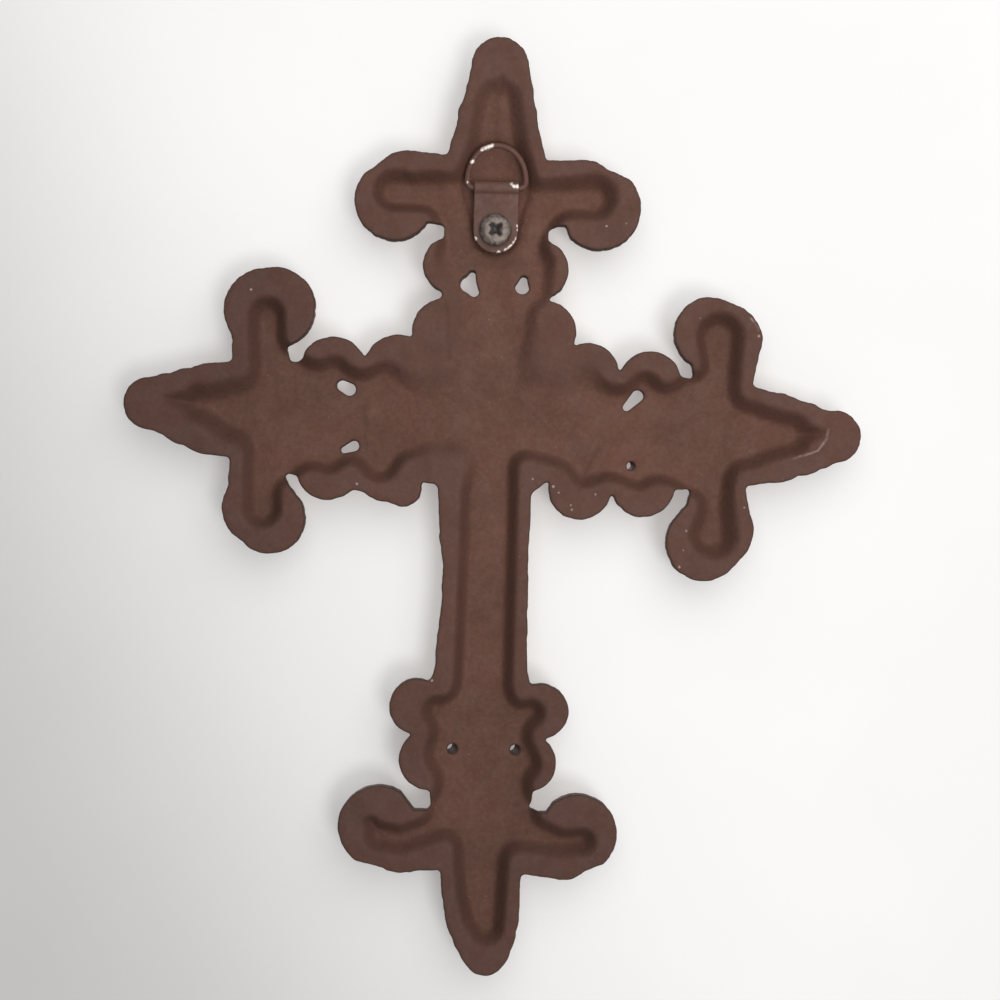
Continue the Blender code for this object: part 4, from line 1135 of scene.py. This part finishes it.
# Bright steel where the hanger's paint is worn through, also used for its painted glints
STEEL = colour(0.72, 0.64, 0.58)
SCREW_DARK = colour(0.115, 0.085, 0.070)
SCREW_PALE = colour(0.235, 0.195, 0.175)
# Colour of the painted shade in the screw's drive recess
SCREW_RECESS_SHADE = colour(0.012, 0.008, 0.007)
PAPER_DARK = colour(0.900, 0.888, 0.873)
PAPER_PALE = colour(0.915, 0.903, 0.890)
# Painted light: how much brighter the pocket floors are made
FLOOR_LIGHT_GAIN = 1.16

# Painted shade where the light falls off, along X to an arm's tip and along Z to the foot: two places, then
# their shares
ARM_FALLOFF_SHADE = (0.010, 0.087, 1.0, 0.80)
FOOT_FALLOFF_SHADE = (-0.190, -0.090, 0.84, 1.0)

# Share of the sheet's brightness that it gives off as a glow, though it is no lamp: painted light that
# keeps its shadows pale
SHEET_GLOW = 0.32


def paint(shader):
    """Mottled matt brown paint over a sand-cast skin."""
    broad = shader.ramp(shader.noise(0.022, 4.0), 0.35, 0.65)
    tone = shader.mix(broad, BROWN_DARK, BROWN_RED)
    tone = shader.mix(shader.ramp(shader.noise(0.0055, 4.0, 0.6), 0.38, 0.66, 0.0, 0.75), tone, BROWN)
    grain = shader.ramp(shader.noise(0.0011, 4.0, 0.7), 0.30, 0.72, 0.88, 1.12)
    tone = shader.mix(1.0, tone, grain, "MULTIPLY")
    specks = shader.ramp(shader.noise(0.00060, 2.0, 0.5), 0.70, 0.75, 0.0, 0.5)
    return shader.mix(specks, tone, SPECK)


def make_iron_paint():
    """The casting's paint, chipped in places, with painted light and shade in its colour: shade down the
    pocket walls, in the creases, along the outline, in the holes and towards one arm's tip and the foot, a
    paler highlight tint on the rims, light on the pocket floors and highlights along some edges.
    """
    shader = Shader("iron_paint")
    tone = paint(shader)
    floor = shader.attribute("floor")
    # Painted highlight: a paler tint on the rims; then painted light that makes the pocket floors brighter
    tone = shader.mix(shader.math("MULTIPLY", shader.math("SUBTRACT", 1.0, floor), 0.35), tone, BROWN_PALE)
    tone = shader.mix(1.0, tone, shader.ramp(floor, 0.3, 1.0, 1.0, FLOOR_LIGHT_GAIN), "MULTIPLY")
    # Painted shade: darker brown, unevenly, down the pocket walls, at the seat's step and in the creases
    uneven = shader.ramp(shader.noise(0.009, 3.0), 0.30, 0.70, 0.24, 0.56)
    tone = shader.mix(shader.math("MULTIPLY", shader.attribute("painted_shade"), uneven), tone, SHADE_BROWN)
    # Painted shade: darker towards one arm's tip and towards the foot, where the light falls off
    for axis, dark in ((0, ARM_FALLOFF_SHADE), (2, FOOT_FALLOFF_SHADE)):
        tone = shader.mix(1.0, tone, shader.ramp(shader.axis(axis), *dark), "MULTIPLY")
    # Painted shade: a thin dark line along the outline, where the edge turns away from the light
    tone = shader.mix(shader.ramp(shader.attribute("rim"), 0.25, 1.0, 0.0, 0.75), tone, SHADE_BLACK)
    # Painted shade on the walls of the small holes
    tone = shader.mix(shader.math("MULTIPLY", shader.attribute("hole_shade"), 0.8), tone, SHADE_BLACK)
    chips = []
    for u, v, radius in CHIPS:
        place = world(np.array([(u * UNIT, v * UNIT)]), np.array([0.0]))[0]
        chips.append((tuple(place), radius * UNIT))
    chips_and_highlights = shader.spots(chips, CHIP_EDGE, 0.0006)
    # Painted highlights: light lines along edges that catch the light, broken up by noise
    worn = shader.ramp(shader.noise(0.0022, 2.0), 0.40, 0.55, 0.25, 0.9)
    for line in EDGE_HIGHLIGHTS:
        places = world(np.array(line) * UNIT, np.full(len(line), HIGHLIGHT_DEPTH))
        highlighted = shader.line([tuple(place) for place in places], HIGHLIGHT_HALF, 3 * HIGHLIGHT_HALF)
        chips_and_highlights = shader.math("MAXIMUM", chips_and_highlights, shader.math("MULTIPLY", highlighted, worn))
    # Paint chips and painted edge highlights, in one pale colour
    tone = shader.mix(chips_and_highlights, tone, CHIP_AND_HIGHLIGHT)
    rough = shader.ramp(shader.noise(0.004, 3.0), 0.3, 0.7, 0.72, 0.90)
    shader.look(Base_Color=tone, Roughness=rough, Specular_IOR_Level=0.35)
    grit = shader.math("MULTIPLY", shader.noise(0.0005, 3.0, 0.6), 0.45)
    shader.bump(shader.math("ADD", shader.noise(0.0014, 5.0, 0.65), grit), 0.00022)
    return shader.material


def worn_paint_with_glints(name, spots, spot_raggedness):
    """The hanger's paint, rubbed through to bright steel in places, with painted glints in the same bright
    colour.
    """
    shader = Shader(name)
    tone = paint(shader)
    places = [((-x * UNIT, 0.0, BAR_Z + z * UNIT), radius * UNIT) for x, z, radius in spots]
    # Bright steel where the paint is worn through, and painted glints in the same colour
    worn = shader.spots(places, SPOT_EDGE, spot_raggedness, (1.0, 0.0, 1.0))
    pale = shader.ramp(shader.noise(0.003), 0.4, 0.7, 0.0, 0.15)
    tone = shader.mix(worn, shader.mix(pale, tone, BROWN_PALE), STEEL)
    rough = shader.ramp(shader.noise(0.002, 3.0), 0.3, 0.7, 0.62, 0.80)
    rough = shader.math("SUBTRACT", rough, shader.math("MULTIPLY", worn, 0.22))
    shader.look(Base_Color=tone, Roughness=rough, Metallic=shader.math("MULTIPLY", worn, 0.55))
    shader.bump(shader.noise(0.0009, 4.0, 0.6), 0.00008)
    return shader.material


def make_screw_steel():
    """Dull grey steel, scratched, with painted shade in its drive recess."""
    shader = Shader("screw_steel")
    tone = shader.mix(shader.ramp(shader.noise(0.0008, 4.0), 0.35, 0.65), SCREW_DARK, SCREW_PALE)
    recess_shade = shader.attribute("recess")
    # Painted shade: near black and less metallic in the drive recess, where shade falls
    tone = shader.mix(shader.math("MULTIPLY", recess_shade, 0.96), tone, SCREW_RECESS_SHADE)
    rough = shader.ramp(shader.noise(0.0008, 3.0), 0.3, 0.7, 0.36, 0.62)
    metal = shader.math("SUBTRACT", 0.75, shader.math("MULTIPLY", recess_shade, 0.6))
    shader.look(Base_Color=tone, Roughness=rough, Metallic=metal)
    shader.bump(shader.noise(0.0005, 3.0), 0.00005)
    return shader.material


# Stage, light and camera


def make_stage():
    """A pale sheet just in front of the ornamented face, seen and shading from its own side alone, with
    painted shade towards +X and the bottom and a glow of its own, painted light that keeps its shadows
    pale.
    """
    half = SHEET_SIZE / 2
    y = CAD_BOX[0].y - SHEET_GAP
    square = ((half, -half), (-half, -half), (-half, half), (half, half))
    data = bpy.data.meshes.new("sheet")
    data.from_pydata([(x, y, VIEW_CENTRE[1] + z) for x, z in square], [], [(0, 1, 2, 3)])
    sheet = add_object("pale_sheet", data)
    shader = Shader("sheet_paper")
    across = shader.axis(0)
    up = shader.math("SUBTRACT", shader.axis(2), VIEW_CENTRE[1])
    # Painted shade on the sheet: darker towards +X and the bottom, and a little towards -X and the top
    lower_left = shader.math("SUBTRACT", across, shader.math("MULTIPLY", up, 0.5))
    upper_right = shader.math("SUBTRACT", shader.math("MULTIPLY", up, 0.8), across)
    painted_falloff = shader.math("MULTIPLY", shader.ramp(lower_left, 0.0, 0.17, 1.0, 0.63),
                      shader.ramp(upper_right, 0.0, 0.19, 1.0, 0.95))
    tone = shader.mix(shader.ramp(shader.noise(0.05, 2.0), 0.3, 0.7), PAPER_DARK, PAPER_PALE)
    tone = shader.mix(1.0, tone, painted_falloff, "MULTIPLY")
    # Painted light: the sheet glows with part of its brightness, which keeps its shadows pale
    lit = shader.mix(SHEET_GLOW, tone, colour(0.0, 0.0, 0.0))
    shader.look(Base_Color=lit, Emission_Color=tone, Emission_Strength=SHEET_GLOW, Roughness=0.9)
    behind = shader.node("NewGeometry", "Backfacing", {})
    shadow = shader.node("LightPath", "Is Shadow Ray", {})
    clear = shader.node("BsdfTransparent", 0, {})
    hidden = shader.math("MAXIMUM", behind, shadow)
    seen = shader.node("MixShader", 0, {}, i0=hidden, i1=shader.surface.outputs[0], i2=clear)
    shader.set(shader.nodes["Material Output"].inputs["Surface"], seen)
    data.materials.append(shader.material)


def make_lights():
    """Soft light from the lower right behind the cross, and plain light for its front."""
    middle = Vector((0.0, 0.0, VIEW_CENTRE[1]))
    for name, place, size, power in LIGHTS:
        data = bpy.data.lights.new(name, "AREA")
        data.size = size
        data.energy = power
        light = add_object(name, data)
        light.location = place
        light.rotation_euler = (middle - Vector(place)).to_track_quat("-Z", "Y").to_euler()
        light.visible_camera = False
    surroundings = bpy.data.worlds.new("pale_room")
    surroundings.use_nodes = True
    background = surroundings.node_tree.nodes["Background"]
    background.inputs["Color"].default_value = colour(0.97, 0.98, 1.0)
    background.inputs["Strength"].default_value = ROOM_STRENGTH
    bpy.context.scene.world = surroundings


def make_camera():
    """The camera square to the back, rolled a little, with the photograph's frame."""
    data = bpy.data.cameras.new("camera")
    data.sensor_width = SENSOR
    data.lens = SENSOR * CAMERA_DISTANCE / PHOTO_WIDTH
    data.clip_start = 0.01
    camera = add_object("camera", data)
    camera.location = (VIEW_CENTRE[0], BACK_Y + CAMERA_DISTANCE, VIEW_CENTRE[1])
    looking = Vector((0.0, -1.0, 0.0)).to_track_quat("-Z", "Y").to_matrix().to_4x4()
    camera.rotation_euler = (looking @ Matrix.Rotation(ROLL, 4, "Z")).to_euler()
    bpy.context.scene.camera = camera


make_casting(make_iron_paint())
make_strap(worn_paint_with_glints("strap_paint", STRAP_WEAR_AND_GLINTS, 0.0012))
make_ring(worn_paint_with_glints("ring_paint", RING_WEAR_AND_GLINTS, 0.0010))
make_screw(make_screw_steel())
make_stage()
make_lights()
make_camera()
bpy.context.scene.view_settings.view_transform = "Standard"
